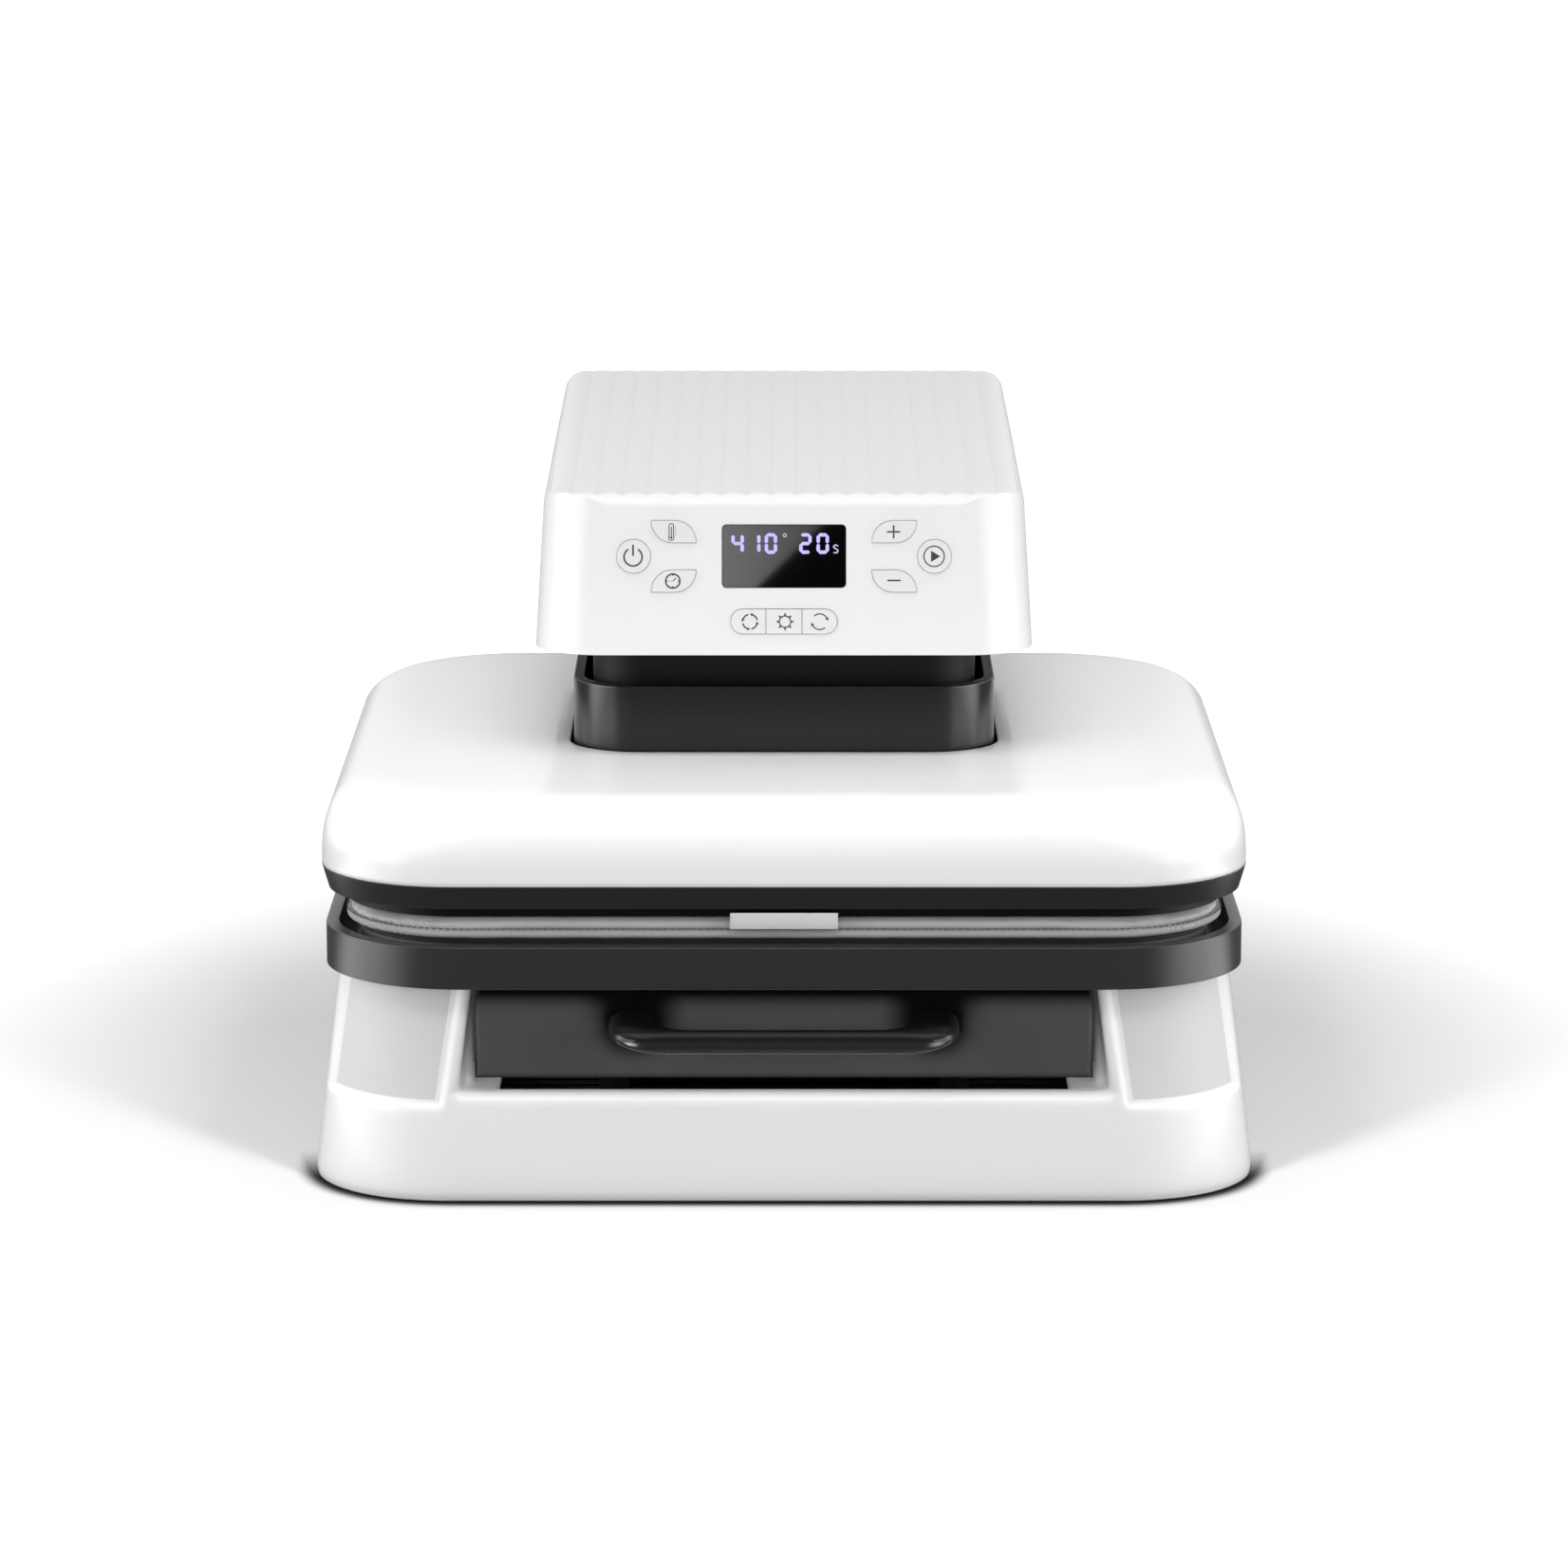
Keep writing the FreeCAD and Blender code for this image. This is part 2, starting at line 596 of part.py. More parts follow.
def c_frame():
    inner = FRAME_HALF - FRAME_PLATE
    plates = []
    for side in (-1, 1):
        x0, x1 = sorted((side * inner, side * FRAME_HALF))
        plates.append(block(x0, x1, FRAME_FOOT_FRONT, FRAME_COLUMN_BACK, PAN_TOP, FRAME_FOOT_TOP))
        plates.append(block(x0, x1, FRAME_COLUMN_FRONT, FRAME_COLUMN_BACK, PAN_TOP, FRAME_ARM_TOP))
        plates.append(block(x0, x1, FRAME_ARM_FRONT, FRAME_COLUMN_BACK, FRAME_ARM_BOTTOM, FRAME_ARM_TOP))
    for y in FRAME_BRACE_Y:
        plates.append(block(-inner, inner, y, y + FRAME_PLATE, PAN_TOP, FRAME_FOOT_TOP))
    plates.append(block(-inner, inner, FRAME_COLUMN_FRONT, FRAME_COLUMN_FRONT + FRAME_PLATE, PAN_TOP,
                        FRAME_ARM_TOP))
    plates.append(block(-inner, inner, FRAME_ARM_FRONT, FRAME_COLUMN_BACK, FRAME_ARM_BOTTOM, DRIVE_PLATE_TOP))
    for side in (-1, 1):
        for y in HANGER_Y:
            plates.append(rod(HANGER_DIAMETER, side * (inner - HANGER_DIAMETER), y,
                              HEAD_BOTTOM + UNDERSIDE_THICK, FRAME_ARM_BOTTOM + 1))
    frame = fuse(plates)
    frame = frame.cut(rod(SCREW_DIAMETER + 2, 0, PRESS_Y, FRAME_ARM_BOTTOM - 1, DRIVE_PLATE_TOP + 1))
    for x, y in rod_spots():
        frame = frame.cut(rod(BUSH_DIAMETER, x, y, FRAME_ARM_BOTTOM - 1, DRIVE_PLATE_TOP + 1))
    return frame


def column_cover():
    middle = (COLUMN_FRONT + COLUMN_BACK) / 2
    depth = COLUMN_BACK - COLUMN_FRONT
    outside = slab(COLUMN_WIDTH, depth, COLUMN_CORNER, BASE_TOP, HEAD_BOTTOM, middle, 1.0)
    inside = block(COLUMN_WALL - COLUMN_WIDTH / 2, COLUMN_WIDTH / 2 - COLUMN_WALL, COLUMN_FRONT + COLUMN_WALL,
                   COLUMN_BACK + 1, BASE_TOP - 1, HEAD_BOTTOM + 1)
    half = REAR_BOSS / 2
    bosses = [block(x - half, x + half, rear_screw_end(), COLUMN_BACK - REAR_COVER_THICK, z - half, z + half)
              for x, z in rear_screw_spots()]
    cover = fuse([outside.cut(inside)] + bosses)
    for x, z in rear_screw_spots():
        hole = Part.makeCylinder(REAR_SCREW / 2, REAR_SCREW_LENGTH, vec(x, COLUMN_BACK, z), vec(0, -1, 0))
        cover = cover.cut(hole)
    return cover


def rear_screw_spots():
    x = COLUMN_WIDTH / 2 - COLUMN_WALL - REAR_BOSS / 2
    return [(side * x, z) for side in (-1, 1) for z in (BASE_TOP + REAR_BOSS, HEAD_BOTTOM - REAR_BOSS)]


def rear_screw_end():
    return COLUMN_BACK - REAR_SCREW_LENGTH - 1.5


def rear_screws():
    screws = []
    for x, z in rear_screw_spots():
        shank = Part.makeCylinder(REAR_SCREW / 2, REAR_SCREW_LENGTH, vec(x, COLUMN_BACK, z), vec(0, -1, 0))
        top = COLUMN_BACK + REAR_HEAD_THICK
        head = Part.makeCylinder(REAR_SCREW_HEAD / 2, REAR_HEAD_THICK, vec(x, COLUMN_BACK, z), vec(0, 1, 0))
        head = head.makeFillet(REAR_HEAD_THICK * 0.45, edges_near(head, lambda b: b.YMin > top - 0.1))
        screw = fuse([shank, head])
        for wide, high in ((CROSS_LENGTH, CROSS_WIDTH), (CROSS_WIDTH, CROSS_LENGTH)):
            screw = screw.cut(block(x - wide / 2, x + wide / 2, top - CROSS_DEPTH, top + 1,
                                    z - high / 2, z + high / 2))
        screws.append(screw)
    return group(screws)


def rear_cover():
    half = COLUMN_WIDTH / 2 - COLUMN_WALL - REAR_GAP
    back = COLUMN_BACK
    cover = block(-half, half, back - REAR_COVER_THICK, back, BASE_TOP, HEAD_BOTTOM)
    for index in range(VENT_COUNT):
        z = BASE_TOP + VENT_RISE + index * VENT_PITCH
        cover = cover.cut(block(-VENT_WIDTH / 2, VENT_WIDTH / 2, back - 9, back + 1, z, z + VENT_HEIGHT))
    cover = cover.cut(block(INLET_X - INLET_WIDTH / 2, INLET_X + INLET_WIDTH / 2, back - 9, back + 1,
                            INLET_Z - INLET_HEIGHT / 2, INLET_Z + INLET_HEIGHT / 2))
    bezel = BEZEL_GAP + BEZEL_WALL
    w, h = ROCKER_WIDTH / 2 + bezel, ROCKER_HEIGHT / 2 + bezel
    cover = cover.cut(block(ROCKER_X - w, ROCKER_X + w, back - 9, back + 1, INLET_Z - h, INLET_Z + h))
    for x, z in rear_screw_spots():
        cover = cover.cut(Part.makeCylinder(REAR_SCREW / 2 + 0.2, 12, vec(x, back - 9, z), vec(0, 1, 0)))
    hole = Part.makeCylinder(FUSE_DIAMETER / 2, 12, vec(FUSE_X, back - 9, INLET_Z), vec(0, 1, 0))
    return cover.cut(hole)


# Drawer

def drawer_front():
    half = DRAWER_WIDTH / 2
    back = DRAWER_FRONT + DRAWER_FRONT_THICK
    panel = block(-half, half, DRAWER_FRONT, back, DRAWER_FRONT_BOTTOM, TRAY_BOTTOM)
    edges = edges_near(panel, lambda b: b.YMax < DRAWER_FRONT + 0.01 and b.ZMin < TRAY_BOTTOM - 0.01)
    panel = panel.makeFillet(DRAWER_FRONT_ROUND, edges)
    for x in (-1, 1):
        spot = handle_screw_spot(x)
        panel = panel.cut(Part.makeCylinder(HANDLE_SCREW / 2 + 0.1, 30, spot, handle_axis()))
    return panel


def handle_axis():
    droop = math.radians(HANDLE_DROOP)
    return vec(0, -math.cos(droop), -math.sin(droop))


def handle_screw_spot(side):
    x = side * (HANDLE_WIDTH / 2 - HANDLE_ROOT / 2)
    z = HANDLE_TOP - HANDLE_HEIGHT / 2
    start = vec(x, DRAWER_FRONT, z)
    return start - handle_axis() * (DRAWER_FRONT_THICK + 1.4)


def drawer_handle():
    """Bow handle: a flat bow with full rounded edges, drooping a little from its roots."""
    half = HANDLE_WIDTH / 2
    extra = 8.0
    inner_half = half - HANDLE_ROOT
    gap = HANDLE_REACH - HANDLE_BAR
    quarter = math.cos(math.radians(45))
    corner = HANDLE_CORNER

    def outer_arc(side):
        centre = vec(side * (half - corner), -HANDLE_REACH + corner, 0)
        return [centre + vec(side * corner, 0, 0),
                centre + vec(side * corner * quarter, -corner * quarter, 0), centre + vec(0, -corner, 0)]

    def inner_arc(side):
        centre = vec(side * (inner_half - gap), 0, 0)
        return [centre + vec(0, -gap, 0), centre + vec(side * gap * quarter, -gap * quarter, 0),
                centre + vec(side * gap, 0, 0)]

    right, left = outer_arc(1), outer_arc(-1)
    near_right, near_left = inner_arc(1), inner_arc(-1)
    edges = [Part.makeLine(vec(half, extra, 0), right[0]), Part.Arc(*right).toShape(),
             Part.makeLine(right[2], left[2]), Part.Arc(left[2], left[1], left[0]).toShape(),
             Part.makeLine(left[0], vec(-half, extra, 0)),
             Part.makeLine(vec(-half, extra, 0), vec(-inner_half, extra, 0)),
             Part.makeLine(vec(-inner_half, extra, 0), near_left[2]),
             Part.Arc(near_left[2], near_left[1], near_left[0]).toShape(),
             Part.makeLine(near_left[0], near_right[0]), Part.Arc(*near_right).toShape(),
             Part.makeLine(near_right[2], vec(inner_half, extra, 0)),
             Part.makeLine(vec(inner_half, extra, 0), vec(half, extra, 0))]
    bow = Part.Face(Part.Wire(edges)).extrude(vec(0, 0, HANDLE_HEIGHT))
    flat = edges_near(bow, lambda b: b.ZLength < 0.01 and b.YMin < extra - 0.01)
    bow = bow.makeFillet(HANDLE_ROUND, flat)
    bow.rotate(vec(0, 0, HANDLE_HEIGHT / 2), vec(1, 0, 0), HANDLE_DROOP)
    bow.translate(vec(0, DRAWER_FRONT, HANDLE_TOP - HANDLE_HEIGHT))
    bow = bow.cut(block(-MOST, MOST, DRAWER_FRONT, MOST, 0, MOST))
    for side in (-1, 1):
        spot = handle_screw_spot(side)
        bow = bow.cut(Part.makeCylinder(HANDLE_SCREW / 2, HANDLE_SCREW_LENGTH + 4, spot, handle_axis()))
    return bow


def handle_screws():
    screws = []
    for side in (-1, 1):
        spot = handle_screw_spot(side)
        shank = Part.makeCylinder(HANDLE_SCREW / 2, HANDLE_SCREW_LENGTH, spot, handle_axis())
        head_start = spot - handle_axis() * HANDLE_SCREW_HEAD
        head = Part.makeCylinder(HANDLE_SCREW, HANDLE_SCREW_HEAD, head_start, handle_axis())
        head_clear = block(-MOST, MOST, DRAWER_FRONT + DRAWER_FRONT_THICK, MOST, 0, MOST)
        screws.append(fuse([shank, head.common(head_clear)]))
    return group(screws)


def drawer_carriage():
    """Folded sheet under the tray: a top with two hanging sides that hold the inner rails."""
    front = DRAWER_FRONT + DRAWER_FRONT_THICK
    low = TRAY_BOTTOM - CARRIAGE_SHEET
    top = block(-CARRIAGE_HALF, CARRIAGE_HALF, front, CARRIAGE_BACK, low, TRAY_BOTTOM)
    pieces = [top]
    for side in (-1, 1):
        x0, x1 = sorted((side * CARRIAGE_HALF, side * (CARRIAGE_HALF - CARRIAGE_SHEET)))
        pieces.append(block(x0, x1, front, CARRIAGE_BACK, CARRIAGE_BOTTOM, TRAY_BOTTOM))
    for x0, x1 in CARRIAGE_TABS:
        pieces.append(block(x0, x1, front, front + CARRIAGE_SHEET, CARRIAGE_BOTTOM, TRAY_BOTTOM))
    return fuse(pieces)


def rail_channel(x_web, x_open, height, y0, y1):
    """One rail of C section: an upright web with two flanges, open towards x_open."""
    low, high = RAIL_MIDDLE_Z - height / 2, RAIL_MIDDLE_Z + height / 2
    web = block(x_web - RAIL_SHEET, x_web, y0, y1, low, high)
    bottom = block(x_open, x_web, y0, y1, low, low + RAIL_SHEET)
    top = block(x_open, x_web, y0, y1, high - RAIL_SHEET, high)
    return fuse([web, bottom, top])


def outer_rails():
    x_web = BAY_WIDTH / 2
    x_open = x_web - RAIL_SHEET - RAIL_FLANGE
    rail = rail_channel(x_web, x_open, RAIL_HEIGHT, RAIL_FRONT, RAIL_FRONT + RAIL_LENGTH)
    return group([rail, mirrored(rail)])


def middle_rails():
    x_web = BAY_WIDTH / 2 - RAIL_SHEET - RAIL_GAP
    x_open = x_web - RAIL_SHEET - RAIL_FLANGE
    height = RAIL_HEIGHT - 2 * RAIL_SHEET - 2 * RAIL_GAP
    rail = rail_channel(x_web, x_open, height, RAIL_FRONT, RAIL_FRONT + RAIL_LENGTH - MIDDLE_RAIL_SHORT)
    return group([rail, mirrored(rail)])


def inner_rails():
    x_out = BAY_WIDTH / 2 - 2 * RAIL_SHEET - 2 * RAIL_GAP
    half = RAIL_HEIGHT / 2 - 2 * RAIL_SHEET - 2 * RAIL_GAP
    rail = block(CARRIAGE_HALF, x_out, RAIL_FRONT, RAIL_FRONT + RAIL_LENGTH - INNER_RAIL_SHORT,
                 RAIL_MIDDLE_Z - half, RAIL_MIDDLE_Z + half)
    groove = half - RAIL_GROOVE_EDGE
    rail = rail.cut(block(x_out - RAIL_SHEET - RAIL_GROOVE, x_out - RAIL_SHEET, RAIL_FRONT - 1,
                          RAIL_FRONT + RAIL_LENGTH, RAIL_MIDDLE_Z - groove, RAIL_MIDDLE_Z + groove))
    return group([rail, mirrored(rail)])


def drawer_tray():
    outside = slab(TRAY_WIDTH, TRAY_DEPTH, TRAY_CORNER, TRAY_BOTTOM, TRAY_TOP)
    edges = edges_near(outside, lambda b: b.ZMin > TRAY_TOP - 0.01)
    outside = outside.makeFillet(TRAY_EDGE, edges)
    inside = slab(TRAY_WIDTH - 2 * TRAY_WALL, TRAY_DEPTH - 2 * TRAY_WALL, TRAY_CORNER - TRAY_WALL,
                  TRAY_BOTTOM + TRAY_FLOOR, TRAY_TOP + 1)
    return outside.cut(inside)


def lower_plate():
    """Pressed sheet pan, open below, that carries the mat inside the tray."""
    low = TRAY_BOTTOM + TRAY_FLOOR
    corner = LOWER_PLATE_CORNER
    depth = LOWER_PLATE_WIDTH + MAT_DEPTH - MAT_WIDTH
    outside = slab(LOWER_PLATE_WIDTH, depth, corner, low, LOWER_PLATE_TOP)
    inside = slab(LOWER_PLATE_WIDTH - 2 * LOWER_PLATE_WALL, depth - 2 * LOWER_PLATE_WALL,
                  corner - LOWER_PLATE_WALL, low - 1, LOWER_PLATE_TOP - LOWER_PLATE_WALL)
    pan = outside.cut(inside)
    ribs = [block(x - 1, x + 1, PRESS_Y - depth / 2 + 3, PRESS_Y + depth / 2 - 3, low, LOWER_PLATE_TOP - 1)
            for x in LOWER_PLATE_RIBS]
    return fuse([pan] + ribs)


def silicone_sheet():
    width = LOWER_PLATE_WIDTH - 2 * SILICONE_INSET
    depth = width + MAT_DEPTH - MAT_WIDTH
    top = LOWER_PLATE_TOP + SILICONE_THICK
    return slab(width, depth, LOWER_PLATE_CORNER - SILICONE_INSET, LOWER_PLATE_TOP, top)


def heat_mat():
    """Padded mat: two rolled halves meet at the sewn edge seam, and the top is crowned."""
    low = LOWER_PLATE_TOP + SILICONE_THICK + MAT_GAP
    seam = (low + MAT_TOP) / 2
    edge_top = MAT_TOP - MAT_EDGE_DROP

    def section(z, drawn):
        return (z, MAT_WIDTH - 2 * drawn, MAT_DEPTH - 2 * drawn, MAT_CORNER - drawn)
    lower = [section(low, MAT_ROLL + 1.2), section(low + 0.7, 1.0), section(low + 2.2, 0.0),
             section(seam - 1.0, 0.1), section(seam, 1.1)]
    upper = [section(seam, 1.1), section(seam + 1.0, 0.2), section(edge_top - 1.8, 0.3),
             section(edge_top - 0.4, MAT_ROLL), section(edge_top, MAT_ROLL + 3.0)]
    crown = [section(edge_top, MAT_ROLL + 3.0), section(MAT_TOP - 0.15, 30.0), section(MAT_TOP, 54.0)]
    return fuse([tapered(lower), tapered(upper), tapered(crown)])


def mat_tab():
    """Blank folded label sewn to the front edge of the mat."""
    front = PRESS_Y - MAT_DEPTH / 2 - MAT_GAP
    half = TAB_WIDTH / 2
    top = MAT_TOP + TAB_RISE
    tab = block(-half, half, front - TAB_THICK, front, top - TAB_HEIGHT, top)
    edges = edges_near(tab, lambda b: b.XLength > 20 and b.YMax < front - 0.01)
    return tab.makeFillet(TAB_THICK * 0.45, edges)


# Upper platen

def heating_plate():
    return slab(PLATE_SIZE, PLATE_SIZE, PLATE_CORNER, PLATE_BOTTOM, PLATE_TOP)


def plate_surround():
    outside = slab(SURROUND_WIDTH, SURROUND_WIDTH, SURROUND_CORNER, PLATE_BOTTOM, RIM_BOTTOM)
    hole = PLATE_SIZE + 2 * SURROUND_GAP
    return outside.cut(slab(hole, hole, PLATE_CORNER + SURROUND_GAP, PLATE_BOTTOM - 1, RIM_BOTTOM + 1))


def platen_rim():
    low_width = RIM_WIDTH - 2 * RIM_LEAN
    outside = tapered([(RIM_BOTTOM, low_width, low_width, RIM_CORNER - RIM_LEAN),
                       (RIM_TOP, RIM_WIDTH, RIM_WIDTH, RIM_CORNER)])
    hole = PLATE_SIZE + 2 * SURROUND_GAP
    below = slab(hole, hole, PLATE_CORNER + SURROUND_GAP, RIM_BOTTOM - 1, PLATE_TOP)
    narrow = PLATE_SIZE - 2 * RIM_LEDGE
    through = slab(narrow, narrow, PLATE_CORNER, PLATE_TOP - 1, PLATE_TOP + RIM_LEDGE_THICK + 1)
    hollow = RIM_WIDTH - 2 * RIM_WALL
    wide = slab(hollow, hollow, RIM_CORNER - RIM_WALL, PLATE_TOP + RIM_LEDGE_THICK, RIM_TOP + 1)
    return outside.cut(below).cut(through).cut(wide)


def cover_sections(drawn):
    """Levels of the domed cover: an upright wall that curls over into a flat crown."""
    wall_top = COVER_BOTTOM + COVER_WALL_RISE
    rise = COVER_TOP - wall_top
    power = 2 / COVER_CURL
    sections = [(COVER_BOTTOM - 4 * COVER_WALL_RISE, 0.0, 0.0), (COVER_BOTTOM, 0.0, 0.0)]
    for step in range(COVER_LEVELS + 1):
        angle = math.pi / 2 * step / COVER_LEVELS
        inset = COVER_SHOULDER * (1 - math.cos(angle) ** power)
        swell = COVER_SWELL * math.sin(angle * 2) ** 2
        sections.append((wall_top + rise * math.sin(angle) ** power, inset, swell))
    levels = []
    for z, inset, swell in sections:
        width = RIM_WIDTH - 2 * inset - 2 * drawn
        levels.append((z - drawn, width, width, COVER_CORNER + swell - 0.3 * inset - drawn))
    return levels


def platen_cover():
    outside = tapered(cover_sections(0), ruled=False)
    outside = outside.common(block(-MOST, MOST, -MOST, MOST, COVER_BOTTOM, MOST))
    inside = tapered(cover_sections(COVER_WALL), ruled=False)
    shell = outside.cut(inside)
    width, depth = COLLAR_WIDTH + 2 * COVER_GAP, COLLAR_DEPTH + 2 * COVER_GAP
    return shell.cut(slab(width, depth, COLLAR_CORNER + COVER_GAP, COVER_BOTTOM, COVER_TOP + 5))


def collar():
    outside = slab(COLLAR_WIDTH, COLLAR_DEPTH, COLLAR_CORNER, CARRIER_TOP, COLLAR_TOP)
    edges = edges_near(outside, lambda b: b.ZMin > COLLAR_TOP - 0.01)
    outside = outside.makeFillet(COLLAR_EDGE, edges)
    return outside.cut(slab(COLLAR_WIDTH - 2 * COLLAR_WALL, COLLAR_DEPTH - 2 * COLLAR_WALL,
                            COLLAR_CORNER - COLLAR_WALL, CARRIER_TOP - 1, COLLAR_TOP + 1))


def leg_spots():
    return [(sx * LEG_X, PRESS_Y + sy * LEG_Y) for sx in (-1, 1) for sy in (-1, 1)]


def rod_spots():
    return [(sx * ROD_X, PRESS_Y + sy * ROD_Y) for sx in (-1, 1) for sy in (-1, 1)]


def press_carrier():
    """Thick plate on four legs: takes the screw's push down to the heating plate."""
    plate = slab(COLLAR_WIDTH + 2 * CARRIER_MARGIN, COLLAR_DEPTH + 2 * CARRIER_MARGIN, COLLAR_CORNER,
                 CARRIER_BOTTOM, CARRIER_TOP)
    legs = [rod(LEG_DIAMETER, x, y, PLATE_TOP, CARRIER_BOTTOM) for x, y in leg_spots()]
    carrier = fuse([plate] + legs)
    carrier = carrier.cut(rod(SCREW_DIAMETER + 2, 0, PRESS_Y, CARRIER_BOTTOM - 1, CARRIER_TOP + 1))
    for x, y in rod_spots():
        carrier = carrier.cut(rod(ROD_DIAMETER, x, y, CARRIER_BOTTOM + ROD_SEAT, CARRIER_TOP + 1))
    return carrier


def disc_springs():
    """Two cupped washers round each carrier leg, back to back."""
    washers = []
    bore = LEG_DIAMETER / 2 + LEG_GAP
    outer = WASHER_DIAMETER / 2
    for x, y in leg_spots():
        upper = INSULATION_TOP + WASHER_THICK + 2 * WASHER_CONE
        for z, cup in ((INSULATION_TOP, WASHER_CONE), (upper, -WASHER_CONE)):
            low = z if cup > 0 else z - WASHER_CONE
            rim_z = low if cup > 0 else low + WASHER_CONE
            bore_z = low + WASHER_CONE if cup > 0 else low
            points = [vec(bore, 0, bore_z), vec(outer, 0, rim_z), vec(outer, 0, rim_z + WASHER_THICK),
                      vec(bore, 0, bore_z + WASHER_THICK)]
            face = Part.Face(Part.makePolygon(points + [points[0]]))
            washer = face.revolve(vec(0, 0, 0), vec(0, 0, 1), 360)
            washer.translate(vec(x, y, 0))
            washers.append(washer)
    return group(washers)


def heating_element():
    """Tube heater laid in straight runs joined by half turns on top of the plate."""
    z = PLATE_TOP + ELEMENT_DIAMETER / 2
    pitch = 2 * ELEMENT_REACH / (ELEMENT_RUNS - 1)
    turn = pitch / 2
    straight = ELEMENT_REACH - turn
    edges = []
    for index in range(ELEMENT_RUNS):
        x = -ELEMENT_REACH + index * pitch
        ends = [vec(x, PRESS_Y - straight, z), vec(x, PRESS_Y + straight, z)]
        if index % 2:
            ends.reverse()
        edges.append(Part.makeLine(*ends))
        if index < ELEMENT_RUNS - 1:
            way = -1 if index % 2 else 1
            y = PRESS_Y + way * straight
            crown = vec(x + turn, y + way * turn, z)
            edges.append(Part.Arc(vec(x, y, z), crown, vec(x + pitch, y, z)).toShape())
    path = Part.Wire(edges)
    start = edges[0].Vertexes[0].Point
    circle = Part.Wire(Part.makeCircle(ELEMENT_DIAMETER / 2, start, vec(0, 1, 0)))
    return path.makePipe(Part.Face(circle))


def insulation_board():
    board = slab(INSULATION_SIZE, INSULATION_SIZE, PLATE_CORNER, INSULATION_BOTTOM, INSULATION_TOP)
    for x, y in leg_spots():
        board = board.cut(rod(LEG_DIAMETER + 2 * LEG_GAP, x, y, INSULATION_BOTTOM - 1, INSULATION_TOP + 1))
    return board.cut(rod(SCREW_DIAMETER + 6, 0, PRESS_Y, INSULATION_BOTTOM - 1, INSULATION_TOP + 1))


def thermal_cutout():
    y = CUTOUT_Y
    can = rod(CUTOUT_DIAMETER, 0, y, PLATE_TOP, PLATE_TOP + CUTOUT_HEIGHT)
    half, thick = CUTOUT_TAG_WIDTH / 2, CUTOUT_TAG_THICK / 2
    tags = [block(x - half, x + half, y - thick, y + thick, PLATE_TOP + CUTOUT_HEIGHT, ELEMENT_TOP)
            for x in (-CUTOUT_TAG_X, CUTOUT_TAG_X)]
    return fuse([can] + tags)


def lead_nut():
    flange = rod(NUT_FLANGE, 0, PRESS_Y, CARRIER_TOP, CARRIER_TOP + NUT_FLANGE_THICK)
    body = rod(NUT_DIAMETER, 0, PRESS_Y, CARRIER_TOP, CARRIER_TOP + NUT_HEIGHT)
    nut = fuse([flange, body])
    bore = SCREW_DIAMETER + 2 * SCREW_FIT
    return nut.cut(rod(bore, 0, PRESS_Y, CARRIER_TOP - 1, CARRIER_TOP + NUT_HEIGHT + 1))


def lead_screw():
    shank = rod(SCREW_DIAMETER, 0, PRESS_Y, CARRIER_TOP, SCREW_TOP)
    shoulder = rod(SCREW_SHOULDER, 0, PRESS_Y, BEARING_TOP + SCREW_FIT, BEARING_TOP + SHOULDER_THICK)
    lock_top = FRAME_ARM_BOTTOM - LOCK_RING_GAP
    below = rod(SCREW_SHOULDER, 0, PRESS_Y, lock_top - LOCK_RING_THICK, lock_top)
    return fuse([shank, shoulder, below])


def thrust_bearing():
    bore = SCREW_DIAMETER + 2 * SCREW_FIT
    return ring(BEARING_DIAMETER, bore, 0, PRESS_Y, DRIVE_PLATE_TOP, BEARING_TOP)


def worm_wheel():
    z0 = WHEEL_BOTTOM
    z1 = z0 + WHEEL_THICK
    outer = WHEEL_DIAMETER / 2
    root = outer - WHEEL_TOOTH
    points = []
    for tooth in range(WHEEL_TEETH):
        for share, radius in ((0.0, root), (0.28, root), (0.42, outer), (0.86, outer)):
            angle = 2 * math.pi * (tooth + share) / WHEEL_TEETH
            points.append(vec(radius * math.cos(angle), PRESS_Y + radius * math.sin(angle), z0))
    gear = prism(points, vec(0, 0, z1 - z0))
    return gear.cut(rod(SCREW_DIAMETER, 0, PRESS_Y, z0 - 1, z1 + 1))


def worm_x():
    return WHEEL_DIAMETER / 2 + WORM_DIAMETER / 2 + WORM_GAP


def worm_z():
    return WHEEL_BOTTOM + WHEEL_THICK / 2


def gearbox_back():
    return PRESS_Y + GEARBOX_DEPTH / 2


def gearbox_housing():
    x0 = -GEARBOX_WIDTH / 2
    x1 = worm_x() + WORM_DIAMETER / 2 + GEARBOX_WALL + 2
    y0, y1 = PRESS_Y - GEARBOX_DEPTH / 2, gearbox_back()
    z0 = DRIVE_PLATE_TOP
    box = block(x0, x1, y0, y1, z0, GEARBOX_TOP)
    wall = GEARBOX_WALL
    box = box.cut(block(x0 + wall, x1 - wall, y0 + wall, y1 - wall, z0 - 1, GEARBOX_TOP - wall))
    box = box.cut(rod(SCREW_DIAMETER + 2, 0, PRESS_Y, z0 - 2, GEARBOX_TOP + 2))
    return box.cut(Part.makeCylinder(WORM_DIAMETER / 2, 20, vec(worm_x(), y1 - 10, worm_z()), vec(0, 1, 0)))


